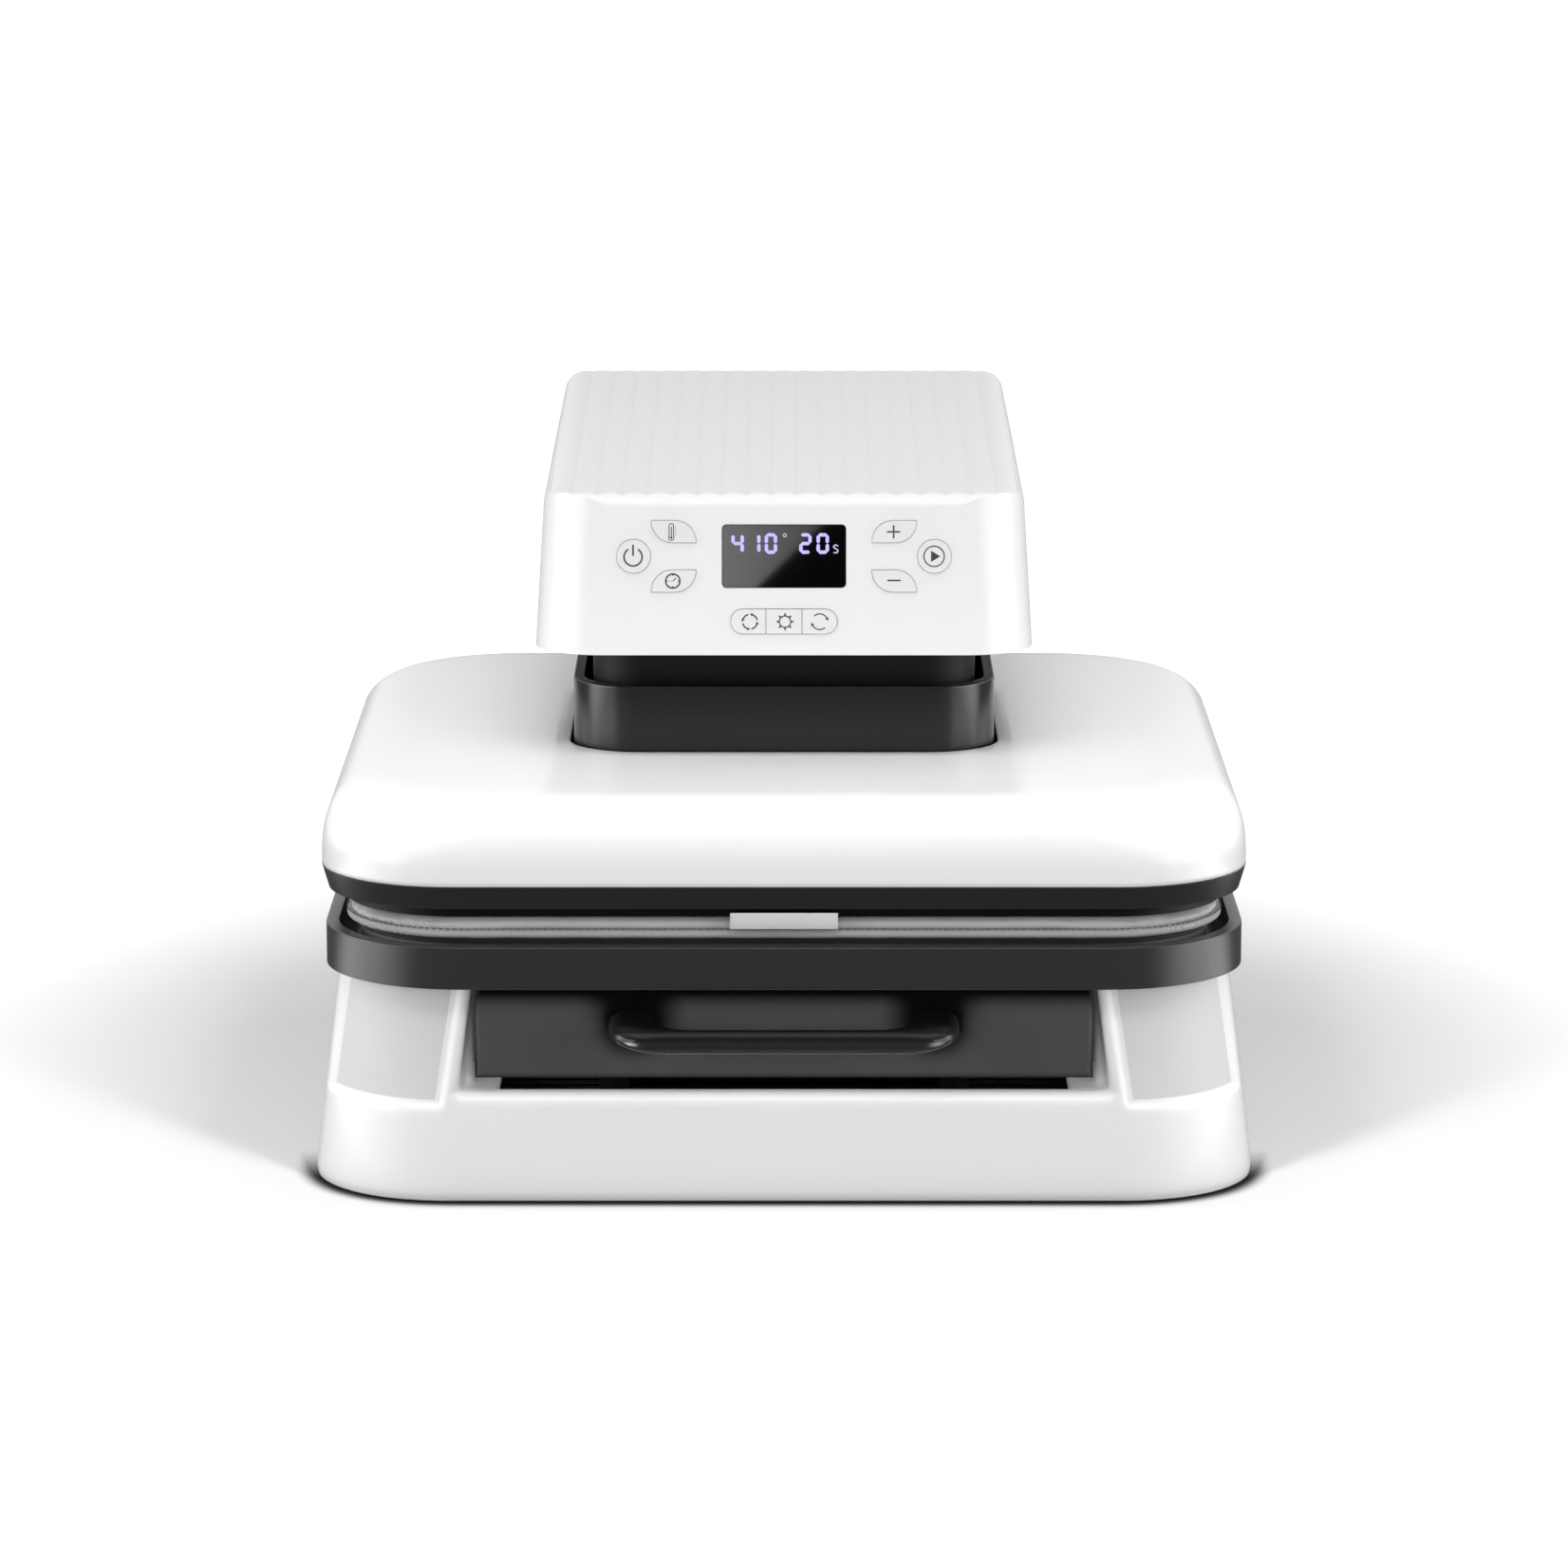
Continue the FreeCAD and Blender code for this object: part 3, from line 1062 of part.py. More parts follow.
def drive_worm():
    """Worm cut on the end of the motor shaft, beside the wheel."""
    start = vec(worm_x(), PRESS_Y - GEARBOX_DEPTH / 2 + GEARBOX_WALL + WORM_END_GAP, worm_z())
    length = gearbox_back() - start.y
    crest = WORM_DIAMETER / 2
    root = crest - WORM_TOOTH
    pieces = [Part.makeCylinder(root - 0.1, length, start, vec(0, 1, 0))]
    for turn in range(WORM_TURNS):
        y = PRESS_Y + (turn - (WORM_TURNS - 1) / 2) * WORM_PITCH
        for radii, y0 in (((root, crest), y - WORM_FLANK), ((crest, root), y)):
            pieces.append(Part.makeCone(*radii, WORM_FLANK, vec(worm_x(), y0, worm_z()), vec(0, 1, 0)))
    return fuse(pieces)


def drive_motor():
    x, z, y = worm_x(), worm_z(), gearbox_back()
    centre = vec(x, y, z)
    can = Part.makeCylinder(MOTOR_DIAMETER / 2, MOTOR_LENGTH, centre, vec(0, 1, 0))
    end = vec(x, y + MOTOR_LENGTH, z)
    cap = Part.makeCylinder(MOTOR_DIAMETER / 2 - MOTOR_CAP, MOTOR_CAP, end, vec(0, 1, 0))
    can = can.cut(block(-MOST, MOST, 0, MOST, 0, DRIVE_PLATE_TOP))
    return fuse([can, cap])


def guide_rods():
    return group([rod(ROD_DIAMETER, x, y, CARRIER_BOTTOM + ROD_SEAT, ROD_TOP) for x, y in rod_spots()])


def guide_bushes():
    bushes = []
    for x, y in rod_spots():
        low = FRAME_ARM_BOTTOM - BUSH_DROP
        body = rod(BUSH_DIAMETER, x, y, low, low + BUSH_HEIGHT)
        flange = rod(BUSH_FLANGE, x, y, DRIVE_PLATE_TOP, DRIVE_PLATE_TOP + BUSH_FLANGE_THICK)
        bore = rod(ROD_DIAMETER + 2 * ROD_FIT, x, y, 0, MOST)
        bushes.append(fuse([body, flange]).cut(bore))
    return group(bushes)


# Head

def head_outline(drawn, z):
    """Plan of the head at one height: rounded front corners, tight back corners."""
    share = (z - HEAD_BOTTOM) / (HEAD_FRONT_HEIGHT - HEAD_BOTTOM)
    width = HEAD_WIDTH + (HEAD_TOP_WIDTH - HEAD_WIDTH) * share - 2 * drawn
    front = HEAD_FRONT + (HEAD_FRONT_TOP - HEAD_FRONT) * share + drawn
    back = HEAD_BACK - drawn
    corner = HEAD_CORNER - drawn
    back_corner = max(HEAD_BACK_CORNER - drawn, 1.0)
    return round_outline(width, back - front, corner, z, (front + back) / 2, back_corner)


def head_taper(drawn, z0, z1):
    return Part.makeLoft([head_outline(drawn, z0), head_outline(drawn, z1)], True, True)


def deck_height(y):
    return HEAD_FRONT_HEIGHT + (y - HEAD_FRONT_TOP) * DECK_SLOPE


def head_side_profile(drawn, drop):
    """Side view of the head, pushed through it: flat bottom, sloping deck, rounded top edges."""
    slope = math.atan(DECK_SLOPE)
    up = vec(0, -math.sin(slope), math.cos(slope))
    radius = HEAD_ROUND - min(drawn, HEAD_ROUND - 1)
    z0 = HEAD_BOTTOM - 20

    lean = (HEAD_FRONT_TOP - HEAD_FRONT) / (HEAD_FRONT_HEIGHT - HEAD_BOTTOM)
    y_front = HEAD_FRONT_TOP + (drawn - lean * drop) / (1 - lean * DECK_SLOPE)
    front_top = vec(-MOST, y_front, deck_height(y_front) - drop)
    down = vec(0, -lean, -1).normalize()
    along = vec(0, math.cos(slope), math.sin(slope))
    back_top = vec(-MOST, HEAD_BACK - drawn, deck_height(HEAD_BACK - drawn) - drop)

    def rounded(corner, first, second):
        """Arc that blends two directions leaving a corner."""
        half = math.acos(max(-1.0, min(1.0, first.dot(second)))) / 2
        reach = radius / math.tan(half)
        centre = corner + (first + second).normalize() * (radius / math.sin(half))
        start, end = corner + first * reach, corner + second * reach
        mid = centre + (corner - centre).normalize() * radius
        return [start, mid, end]
    front = rounded(front_top, down, along)
    back = rounded(back_top, along * -1, vec(0, 0, -1))
    low_front = vec(-MOST, front_top.y + (front_top.z - z0) * -lean, z0)
    low_back = vec(-MOST, HEAD_BACK - drawn, z0)
    edges = [Part.makeLine(low_front, front[0]), Part.Arc(*front).toShape(),
             Part.makeLine(front[2], back[0]), Part.Arc(*back).toShape(),
             Part.makeLine(back[2], low_back), Part.makeLine(low_back, low_front)]
    return Part.Face(Part.Wire(edges)).extrude(vec(2 * MOST, 0, 0))


def head_cross_profile():
    """Front view of the head with its fluted deck, pushed along the deck's slope."""
    zone = FLUTE_PITCH * FLUTE_COUNT / 2
    half = HEAD_TOP_WIDTH / 2
    top = HEAD_FRONT_HEIGHT
    groove = top - FLUTE_RISE
    y = HEAD_FRONT_TOP - 60
    shift = DECK_SLOPE * -60
    low = HEAD_BOTTOM - 40
    lean = (HEAD_WIDTH - HEAD_TOP_WIDTH) / 2 / (HEAD_FRONT_HEIGHT - HEAD_BOTTOM)
    low_half = half + lean * (top - low)
    shoulder = half - zone

    def spot(x, z):
        return vec(x, y, z + shift)
    left_mid = spot(-half + shoulder * 0.293, top - FLUTE_RISE - HEAD_ROUND * 0.293)
    edges = [Part.makeLine(spot(-low_half, low), spot(-half, top - FLUTE_RISE - HEAD_ROUND)),
             Part.Arc(spot(-half, top - FLUTE_RISE - HEAD_ROUND), left_mid, spot(-zone, groove)).toShape()]
    for index in range(FLUTE_COUNT):
        x = -zone + index * FLUTE_PITCH
        crest = spot(x + FLUTE_PITCH / 2, top)
        edges.append(Part.Arc(spot(x, groove), crest, spot(x + FLUTE_PITCH, groove)).toShape())
    right_mid = vec(-left_mid.x, left_mid.y, left_mid.z)
    edges.append(Part.Arc(spot(zone, groove), right_mid, spot(half, top - FLUTE_RISE - HEAD_ROUND)).toShape())
    edges.append(Part.makeLine(spot(half, top - FLUTE_RISE - HEAD_ROUND), spot(low_half, low)))
    edges.append(Part.makeLine(spot(low_half, low), spot(-low_half, low)))
    length = HEAD_BACK - y + 60
    return Part.Face(Part.Wire(edges)).extrude(vec(0, length, length * DECK_SLOPE))


def on_panel(shape):
    """Moves a piece drawn flat, face up, onto the sloping front of the head."""
    placed = shape.copy()
    share = (PANEL_Z - HEAD_BOTTOM) / (HEAD_FRONT_HEIGHT - HEAD_BOTTOM)
    y = HEAD_FRONT + (HEAD_FRONT_TOP - HEAD_FRONT) * share
    placed.rotate(vec(0, 0, 0), vec(1, 0, 0), 90 - PANEL_TILT)
    placed.translate(vec(0, y, PANEL_Z))
    return placed


def flat_round(width, height, radius, n0, n1, u=0.0, v=0.0):
    outline = round_outline(width, height, radius, n0, v)
    piece = Part.Face(outline).extrude(vec(0, 0, n1 - n0))
    piece.translate(vec(u, 0, 0))
    return piece


def leaf(width, height, n0, n1, u, v, flip, grow=0.0):
    """Leaf outline: two opposite corners fully rounded, the other two sharp."""
    radius = height - 0.3 + grow
    w, h = width / 2 + grow, height / 2 + grow
    s = radius * (1 - math.cos(math.radians(45)))
    points = [vec(-w, h, n0), vec(w - radius, h, n0), vec(w - s, h - s, n0), vec(w, h - radius, n0),
              vec(w, -h, n0), vec(radius - w, -h, n0), vec(s - w, s - h, n0), vec(-w, radius - h, n0)]
    if flip:
        points = [vec(-p.x, p.y, p.z) for p in points]
    edges = [Part.makeLine(points[0], points[1]), Part.Arc(points[1], points[2], points[3]).toShape(),
             Part.makeLine(points[3], points[4]), Part.makeLine(points[4], points[5]),
             Part.Arc(points[5], points[6], points[7]).toShape(), Part.makeLine(points[7], points[0])]
    piece = Part.Face(Part.Wire(edges)).extrude(vec(0, 0, n1 - n0))
    piece.translate(vec(u, v, 0))
    return piece


def pill_key(n0, n1, index, grow=0.0):
    """One of the three keys that share the pill-shaped field."""
    height = PILL_HEIGHT + 2 * grow
    whole = flat_round(PILL_WIDTH + 2 * grow, height, height / 2 - 0.01, n0, n1, 0, PILL_V)
    half = PILL_MIDDLE_WIDTH / 2
    gap = KEY_GAP / 2 - grow
    spans = [(-MOST, -half - gap), (-half + gap, half - gap), (half + gap, MOST)]
    x0, x1 = spans[index]
    return whole.common(block(x0, x1, -MOST, MOST, n0 - 1, n1 + 1))


def key_outline(name, n0, n1, grow=0.0):
    """Solid of a key's outline between two levels, grown all round by grow."""
    if name in ("power_button", "start_button"):
        u = -ROUND_KEY_X if name == "power_button" else ROUND_KEY_X
        return Part.makeCylinder(ROUND_KEY_DIAMETER / 2 + grow, n1 - n0, vec(u, 0, n0))
    if name in PILL_KEYS:
        return pill_key(n0, n1, PILL_KEYS.index(name), grow)
    side, row = LEAF_KEYS[name]
    return leaf(LEAF_WIDTH, LEAF_HEIGHT, n0, n1, side * LEAF_X, row * LEAF_V, side * row > 0, grow)


PILL_KEYS = ["repeat_key", "heat_key", "auto_key"]
LEAF_KEYS = {"temperature_key": (-1, 1), "time_key": (-1, -1), "plus_key": (1, 1), "minus_key": (1, -1)}
ALL_KEYS = ["power_button", "start_button"] + list(LEAF_KEYS) + PILL_KEYS


def key_centre(name):
    box = key_outline(name, 0, 1).BoundBox
    return box.Center.x, box.Center.y


def key(name):
    """Push key: a proud cap, a flange that stops it behind the panel, and a stem to its switch."""
    low = -HEAD_WALL - KEY_FLANGE_THICK
    cap = key_outline(name, low, KEY_PROUD)
    top = edges_near(cap, lambda b: b.ZMin > KEY_PROUD - 0.01)
    cap = cap.makeFillet(KEY_EDGE, top)
    u, v = key_centre(name)
    if name in PILL_KEYS:
        reach = PILL_HEIGHT / 2 + KEY_FLANGE
        flange = block(u - KEY_TONGUE / 2, u + KEY_TONGUE / 2, v - reach, v + reach, low, -HEAD_WALL)
    else:
        flange = key_outline(name, low, -HEAD_WALL, KEY_FLANGE)
    stem_low = -BOARD_DEPTH + SWITCH_HEIGHT + KEY_TRAVEL + SWITCH_GAP
    stem = Part.makeCylinder(KEY_STEM_DIAMETER / 2, low - stem_low, vec(u, v, stem_low))
    return on_panel(fuse([cap, flange, stem]))


def head_shell():
    top = HEAD_BACK_HEIGHT + 10
    outside = head_taper(0, HEAD_BOTTOM, top).common(head_side_profile(0, 0)).common(head_cross_profile())
    inside = head_taper(HEAD_WALL, HEAD_BOTTOM - 1, top)
    inside = inside.common(head_side_profile(HEAD_WALL, HEAD_WALL + FLUTE_RISE))
    shell = outside.cut(inside)
    gap = 2 * WINDOW_GAP
    cuts = [flat_round(DISPLAY_WIDTH + gap, DISPLAY_HEIGHT + gap, DISPLAY_CORNER, -10, 10)]
    cuts += [key_outline(name, -10, 10, KEY_GAP) for name in ALL_KEYS if name not in PILL_KEYS]
    height = PILL_HEIGHT + 2 * KEY_GAP
    cuts.append(flat_round(PILL_WIDTH + 2 * KEY_GAP, height, height / 2 - 0.01, -10, 10, 0, PILL_V))
    shell = shell.cut(on_panel(group(cuts)))
    length = BOARD_DEPTH - HEAD_WALL + 1
    posts = [rod(POST_DIAMETER, sx * POST_X, sv * POST_V + BOARD_V, -BOARD_DEPTH, length - BOARD_DEPTH)
             for sx in (-1, 1) for sv in (-1, 1)]
    return fuse([shell] + [on_panel(post).common(outside) for post in posts])


def head_underside():
    """Panel that closes the head from below, round the neck and the column."""
    z0 = HEAD_BOTTOM
    panel = head_taper(HEAD_WALL + UNDERSIDE_GAP, z0, z0 + UNDERSIDE_THICK)
    panel = panel.cut(slab(NECK_WIDTH + 2 * NECK_GAP, NECK_DEPTH + 2 * NECK_GAP, NECK_CORNER, z0 - 1,
                           z0 + UNDERSIDE_THICK + 1))
    half = FRAME_HALF + 3
    return panel.cut(block(-half, half, FRAME_COLUMN_FRONT - 3, HEAD_BACK - HEAD_WALL - 2.0, z0 - 1,
                           z0 + UNDERSIDE_THICK + 1))


def neck():
    top = HEAD_BOTTOM + UNDERSIDE_THICK
    outside = slab(NECK_WIDTH, NECK_DEPTH, NECK_CORNER, NECK_BOTTOM, top)
    flange = slab(NECK_WIDTH + 2 * NECK_FLANGE, NECK_DEPTH + 2 * NECK_FLANGE, NECK_CORNER + NECK_FLANGE, top,
                  top + NECK_FLANGE_THICK)
    inside = slab(NECK_WIDTH - 2 * NECK_WALL, NECK_DEPTH - 2 * NECK_WALL, NECK_CORNER - NECK_WALL,
                  NECK_BOTTOM - 1, top + 4)
    return fuse([outside, flange]).cut(inside)


def display_window():
    low = WINDOW_PROUD - WINDOW_THICK
    window = flat_round(DISPLAY_WIDTH, DISPLAY_HEIGHT, DISPLAY_CORNER, low, WINDOW_PROUD)
    edges = edges_near(window, lambda b: b.ZMin > WINDOW_PROUD - 0.01)
    return on_panel(window.makeChamfer(WINDOW_PROUD, edges))


def display_module():
    face = WINDOW_PROUD - WINDOW_THICK
    return on_panel(flat_round(DISPLAY_WIDTH - 4, DISPLAY_HEIGHT - 3, 0.8, face - MODULE_THICK, face))


def control_board():
    board = flat_round(BOARD_WIDTH, BOARD_HEIGHT, 2.0, -BOARD_DEPTH - BOARD_THICK, -BOARD_DEPTH, 0, BOARD_V)
    return on_panel(board)


def tact_switches():
    switches = []
    half = SWITCH_SIZE / 2
    for name in ALL_KEYS:
        u, v = key_centre(name)
        switches.append(block(u - half, u + half, v - half, v + half, -BOARD_DEPTH,
                              -BOARD_DEPTH + SWITCH_HEIGHT))
    return on_panel(group(switches))


# Electrical entry

def power_inlet():
    back = COLUMN_BACK
    w, h = INLET_WIDTH / 2, INLET_HEIGHT / 2
    body = block(INLET_X - w, INLET_X + w, back - INLET_DEPTH, back, INLET_Z - h, INLET_Z + h)
    flange = block(INLET_X - w - INLET_FLANGE, INLET_X + w + INLET_FLANGE, back, back + INLET_FLANGE_THICK,
                   INLET_Z - h - INLET_FLANGE, INLET_Z + h + INLET_FLANGE)
    w, h = w - INLET_WALL, h - INLET_WALL
    floor = back - INLET_DEPTH + INLET_WALL
    inlet = fuse([body, flange])
    inlet = inlet.cut(block(INLET_X - w, INLET_X + w, floor, back + 5, INLET_Z - h, INLET_Z + h))
    w, h = INLET_PIN_WIDTH / 2, INLET_PIN_HEIGHT / 2
    pins = [block(INLET_X + x - w, INLET_X + x + w, floor - 0.5, back - INLET_PIN_RECESS,
                  INLET_Z + z - h, INLET_Z + z + h) for x, z in INLET_PINS]
    return fuse([inlet] + pins)


def rocker_pin(diameter, length):
    start = vec(ROCKER_X - length / 2, COLUMN_BACK - ROCKER_PIN_DEPTH, INLET_Z)
    return Part.makeCylinder(diameter / 2, length, start, vec(1, 0, 0))


def switch_bezel():
    back = COLUMN_BACK
    w, h = ROCKER_WIDTH / 2 + BEZEL_GAP, ROCKER_HEIGHT / 2 + BEZEL_GAP

    def layer(margin, y0, y1):
        wide, high = w + margin, h + margin
        return block(ROCKER_X - wide, ROCKER_X + wide, y0, y1, INLET_Z - high, INLET_Z + high)
    bezel = fuse([layer(BEZEL_WALL, back - BEZEL_DEPTH, back),
                  layer(BEZEL_WALL + BEZEL_FLANGE, back, back + BEZEL_FLANGE)])
    bezel = bezel.cut(layer(0, back - BEZEL_DEPTH + BEZEL_FLOOR, back + 5))
    return bezel.cut(rocker_pin(ROCKER_PIN + 2 * ROCKER_PIN_FIT, 2 * ROCKER_WIDTH))


def rocker_switch():
    """Rocker on a cross pin, tipped so that its lower half stands proud."""
    back = COLUMN_BACK
    x = ROCKER_X - ROCKER_WIDTH / 2
    tip = ROCKER_HEIGHT / 2 - 1
    foot = ROCKER_FOOT / 2
    points = [vec(x, back + ROCKER_TIP, INLET_Z - tip), vec(x, back + ROCKER_WAIST, INLET_Z),
              vec(x, back + ROCKER_TIP, INLET_Z + tip), vec(x, back - ROCKER_DEPTH, INLET_Z + foot),
              vec(x, back - ROCKER_DEPTH, INLET_Z - foot)]
    cap = prism(points, vec(ROCKER_WIDTH, 0, 0))
    rocker = fuse([cap, rocker_pin(ROCKER_PIN, ROCKER_WIDTH + 2 * BEZEL_WALL)])
    rocker.rotate(vec(ROCKER_X, back - ROCKER_PIN_DEPTH, INLET_Z), vec(1, 0, 0), ROCKER_TILT / 2)
    return rocker


def fuse_holder():
    back = COLUMN_BACK
    front = FRAME_COLUMN_BACK + 0.3
    body = Part.makeCylinder(FUSE_DIAMETER / 2, back - front, vec(FUSE_X, front, INLET_Z), vec(0, 1, 0))
    cap = Part.makeCylinder(FUSE_CAP / 2, FUSE_CAP_THICK, vec(FUSE_X, back, INLET_Z), vec(0, 1, 0))
    half, wide = FUSE_SLOT_LENGTH / 2, FUSE_SLOT_WIDTH / 2
    slot = block(FUSE_X - half, FUSE_X + half, back + FUSE_CAP_THICK - 1, back + FUSE_CAP_THICK + 1,
                 INLET_Z - wide, INLET_Z + wide)
    return fuse([body, cap]).cut(slot)


def power_board():
    half, y0, edge = POWER_BOARD_WIDTH / 2, POWER_BOARD_FRONT, POWER_BOARD_EDGE
    y1 = y0 + POWER_BOARD_DEPTH
    low = PAN_TOP + POWER_BOARD_LIFT
    top = low + BOARD_THICK
    pieces = [block(-half, half, y0, y1, low, top)]
    pieces += [rod(POST_DIAMETER, x, y, PAN_TOP, low) for x in (edge - half, half - edge)
               for y in (y0 + edge, y1 - edge)]
    pieces += [block(x, x + wide, y0 + y, y0 + y + deep, top, top + high)
               for x, y, wide, deep, high in POWER_BLOCKS]
    pieces += [rod(size, x, y0 + y, top, top + high) for x, y, size, high in POWER_CANS]
    return fuse(pieces)


MAKERS = [
    ("base_shell", base_shell), ("base_pan", base_pan), ("rubber_feet", rubber_feet),
    ("base_screws", base_screws), ("rear_screws", rear_screws),
    ("c_frame", c_frame), ("column_cover", column_cover), ("rear_cover", rear_cover),
    ("head_shell", head_shell), ("head_underside", head_underside), ("neck", neck),
    ("display_window", display_window), ("display_module", display_module),
    ("control_board", control_board), ("tact_switches", tact_switches),
    ("drive_motor", drive_motor), ("gearbox_housing", gearbox_housing), ("drive_worm", drive_worm),
    ("worm_wheel", worm_wheel), ("lead_screw", lead_screw), ("thrust_bearing", thrust_bearing),
    ("guide_bushes", guide_bushes), ("guide_rods", guide_rods), ("lead_nut", lead_nut),
    ("press_carrier", press_carrier), ("disc_springs", disc_springs), ("collar", collar),
    ("platen_cover", platen_cover), ("platen_rim", platen_rim), ("plate_surround", plate_surround),
    ("heating_plate", heating_plate), ("heating_element", heating_element),
    ("insulation_board", insulation_board), ("thermal_cutout", thermal_cutout),
    ("drawer_front", drawer_front), ("drawer_handle", drawer_handle), ("handle_screws", handle_screws),
    ("drawer_carriage", drawer_carriage), ("inner_rails", inner_rails), ("middle_rails", middle_rails),
    ("outer_rails", outer_rails), ("drawer_tray", drawer_tray), ("lower_plate", lower_plate),
    ("silicone_sheet", silicone_sheet), ("heat_mat", heat_mat), ("mat_tab", mat_tab),
    ("power_inlet", power_inlet), ("switch_bezel", switch_bezel), ("rocker_switch", rocker_switch),
    ("fuse_holder", fuse_holder), ("power_board", power_board),
]

os.makedirs("parts", exist_ok=True)
for name, make in MAKERS:
    save(name, make())
for name in ALL_KEYS:
    save(name, key(name))
print("middle", MIDDLE, "panel tilt", PANEL_TILT)
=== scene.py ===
# %% [markdown]
# # An automatic heat press
# A motor-driven heat press stands on a bench. A white base holds a drawer with a padded mat on it. A hot plate
# under a white domed cover comes down on the mat, and the control head above it carries a display and nine
# keys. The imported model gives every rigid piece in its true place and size. This lesson dresses it: it finishes
# each material, lays the cloth, prints the symbols and sets the light. Everything is in metres, with +Z up and
# the front of the press towards -Y.

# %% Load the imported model
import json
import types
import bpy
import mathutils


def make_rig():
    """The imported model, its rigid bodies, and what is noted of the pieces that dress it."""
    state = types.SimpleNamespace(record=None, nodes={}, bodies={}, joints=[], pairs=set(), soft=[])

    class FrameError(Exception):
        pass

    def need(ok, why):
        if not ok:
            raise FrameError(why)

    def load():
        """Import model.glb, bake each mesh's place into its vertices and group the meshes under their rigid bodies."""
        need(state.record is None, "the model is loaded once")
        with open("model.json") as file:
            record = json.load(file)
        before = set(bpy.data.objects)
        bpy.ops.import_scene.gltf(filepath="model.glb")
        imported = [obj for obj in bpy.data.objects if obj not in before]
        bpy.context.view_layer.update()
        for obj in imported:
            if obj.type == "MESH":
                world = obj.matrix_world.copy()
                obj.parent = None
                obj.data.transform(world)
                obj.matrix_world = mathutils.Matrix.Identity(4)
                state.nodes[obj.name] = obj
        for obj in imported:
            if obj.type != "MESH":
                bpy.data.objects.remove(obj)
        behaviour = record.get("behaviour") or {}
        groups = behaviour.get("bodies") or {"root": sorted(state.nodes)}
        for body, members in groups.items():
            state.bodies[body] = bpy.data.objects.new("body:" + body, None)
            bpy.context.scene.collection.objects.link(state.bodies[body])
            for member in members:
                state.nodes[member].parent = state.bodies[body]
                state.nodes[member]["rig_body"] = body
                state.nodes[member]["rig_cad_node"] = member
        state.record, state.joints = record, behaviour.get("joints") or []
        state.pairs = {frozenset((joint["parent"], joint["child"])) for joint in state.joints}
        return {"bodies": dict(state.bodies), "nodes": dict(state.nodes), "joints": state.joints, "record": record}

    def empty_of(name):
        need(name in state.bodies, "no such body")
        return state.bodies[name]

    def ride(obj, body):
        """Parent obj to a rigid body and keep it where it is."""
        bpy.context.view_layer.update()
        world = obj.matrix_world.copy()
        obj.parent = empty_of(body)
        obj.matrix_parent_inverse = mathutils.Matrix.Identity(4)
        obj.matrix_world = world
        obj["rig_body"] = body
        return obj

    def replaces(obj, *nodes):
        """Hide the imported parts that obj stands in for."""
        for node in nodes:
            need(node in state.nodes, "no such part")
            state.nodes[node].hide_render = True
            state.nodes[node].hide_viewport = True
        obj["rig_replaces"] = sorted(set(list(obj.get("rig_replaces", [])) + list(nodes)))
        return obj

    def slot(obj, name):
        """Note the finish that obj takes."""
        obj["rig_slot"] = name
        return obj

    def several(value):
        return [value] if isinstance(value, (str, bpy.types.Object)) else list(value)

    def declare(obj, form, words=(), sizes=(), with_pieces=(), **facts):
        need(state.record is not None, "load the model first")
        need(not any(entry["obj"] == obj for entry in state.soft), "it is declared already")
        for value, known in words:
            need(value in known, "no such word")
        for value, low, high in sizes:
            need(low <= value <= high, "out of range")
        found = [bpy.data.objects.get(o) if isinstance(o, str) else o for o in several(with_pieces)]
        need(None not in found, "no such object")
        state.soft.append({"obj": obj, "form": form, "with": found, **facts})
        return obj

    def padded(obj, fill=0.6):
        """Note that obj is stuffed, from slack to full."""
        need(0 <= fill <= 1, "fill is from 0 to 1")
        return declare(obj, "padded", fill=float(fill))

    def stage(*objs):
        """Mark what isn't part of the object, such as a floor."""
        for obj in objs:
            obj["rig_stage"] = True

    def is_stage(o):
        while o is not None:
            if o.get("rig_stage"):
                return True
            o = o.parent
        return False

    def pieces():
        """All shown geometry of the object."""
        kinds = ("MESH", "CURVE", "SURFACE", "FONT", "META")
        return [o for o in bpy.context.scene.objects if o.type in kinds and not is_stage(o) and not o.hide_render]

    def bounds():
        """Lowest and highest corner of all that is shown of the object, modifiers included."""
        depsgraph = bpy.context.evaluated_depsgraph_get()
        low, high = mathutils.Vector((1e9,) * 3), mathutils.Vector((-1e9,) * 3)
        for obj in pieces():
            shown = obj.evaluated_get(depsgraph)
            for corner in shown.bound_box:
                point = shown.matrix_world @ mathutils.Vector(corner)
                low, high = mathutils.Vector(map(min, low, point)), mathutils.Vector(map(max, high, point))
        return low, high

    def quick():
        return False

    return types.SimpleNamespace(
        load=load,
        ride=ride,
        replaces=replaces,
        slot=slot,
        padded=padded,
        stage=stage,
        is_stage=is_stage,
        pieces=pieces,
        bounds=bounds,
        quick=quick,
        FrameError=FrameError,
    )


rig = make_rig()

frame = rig.load()
model_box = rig.bounds()

import bmesh
import bpy
import json
import math
import random
from mathutils import Vector

NODES = frame["nodes"]
MM = 0.001
print("packed nodes:", len(NODES), "bodies:", len(frame["bodies"]))

# %% [markdown]
# ## Camera
# A product photographer stands well back with a long lens, so that the sides of the press look almost parallel.
# The camera is three metres in front and half a metre above the head, and looks down by eleven degrees.

# %% Camera
CAMERA_PLACE = (0.0, -3.2360817613, 0.787)
CAMERA_DIP = 11.05
CAMERA_LENS, FILM_WIDTH = 150.76, 36.0

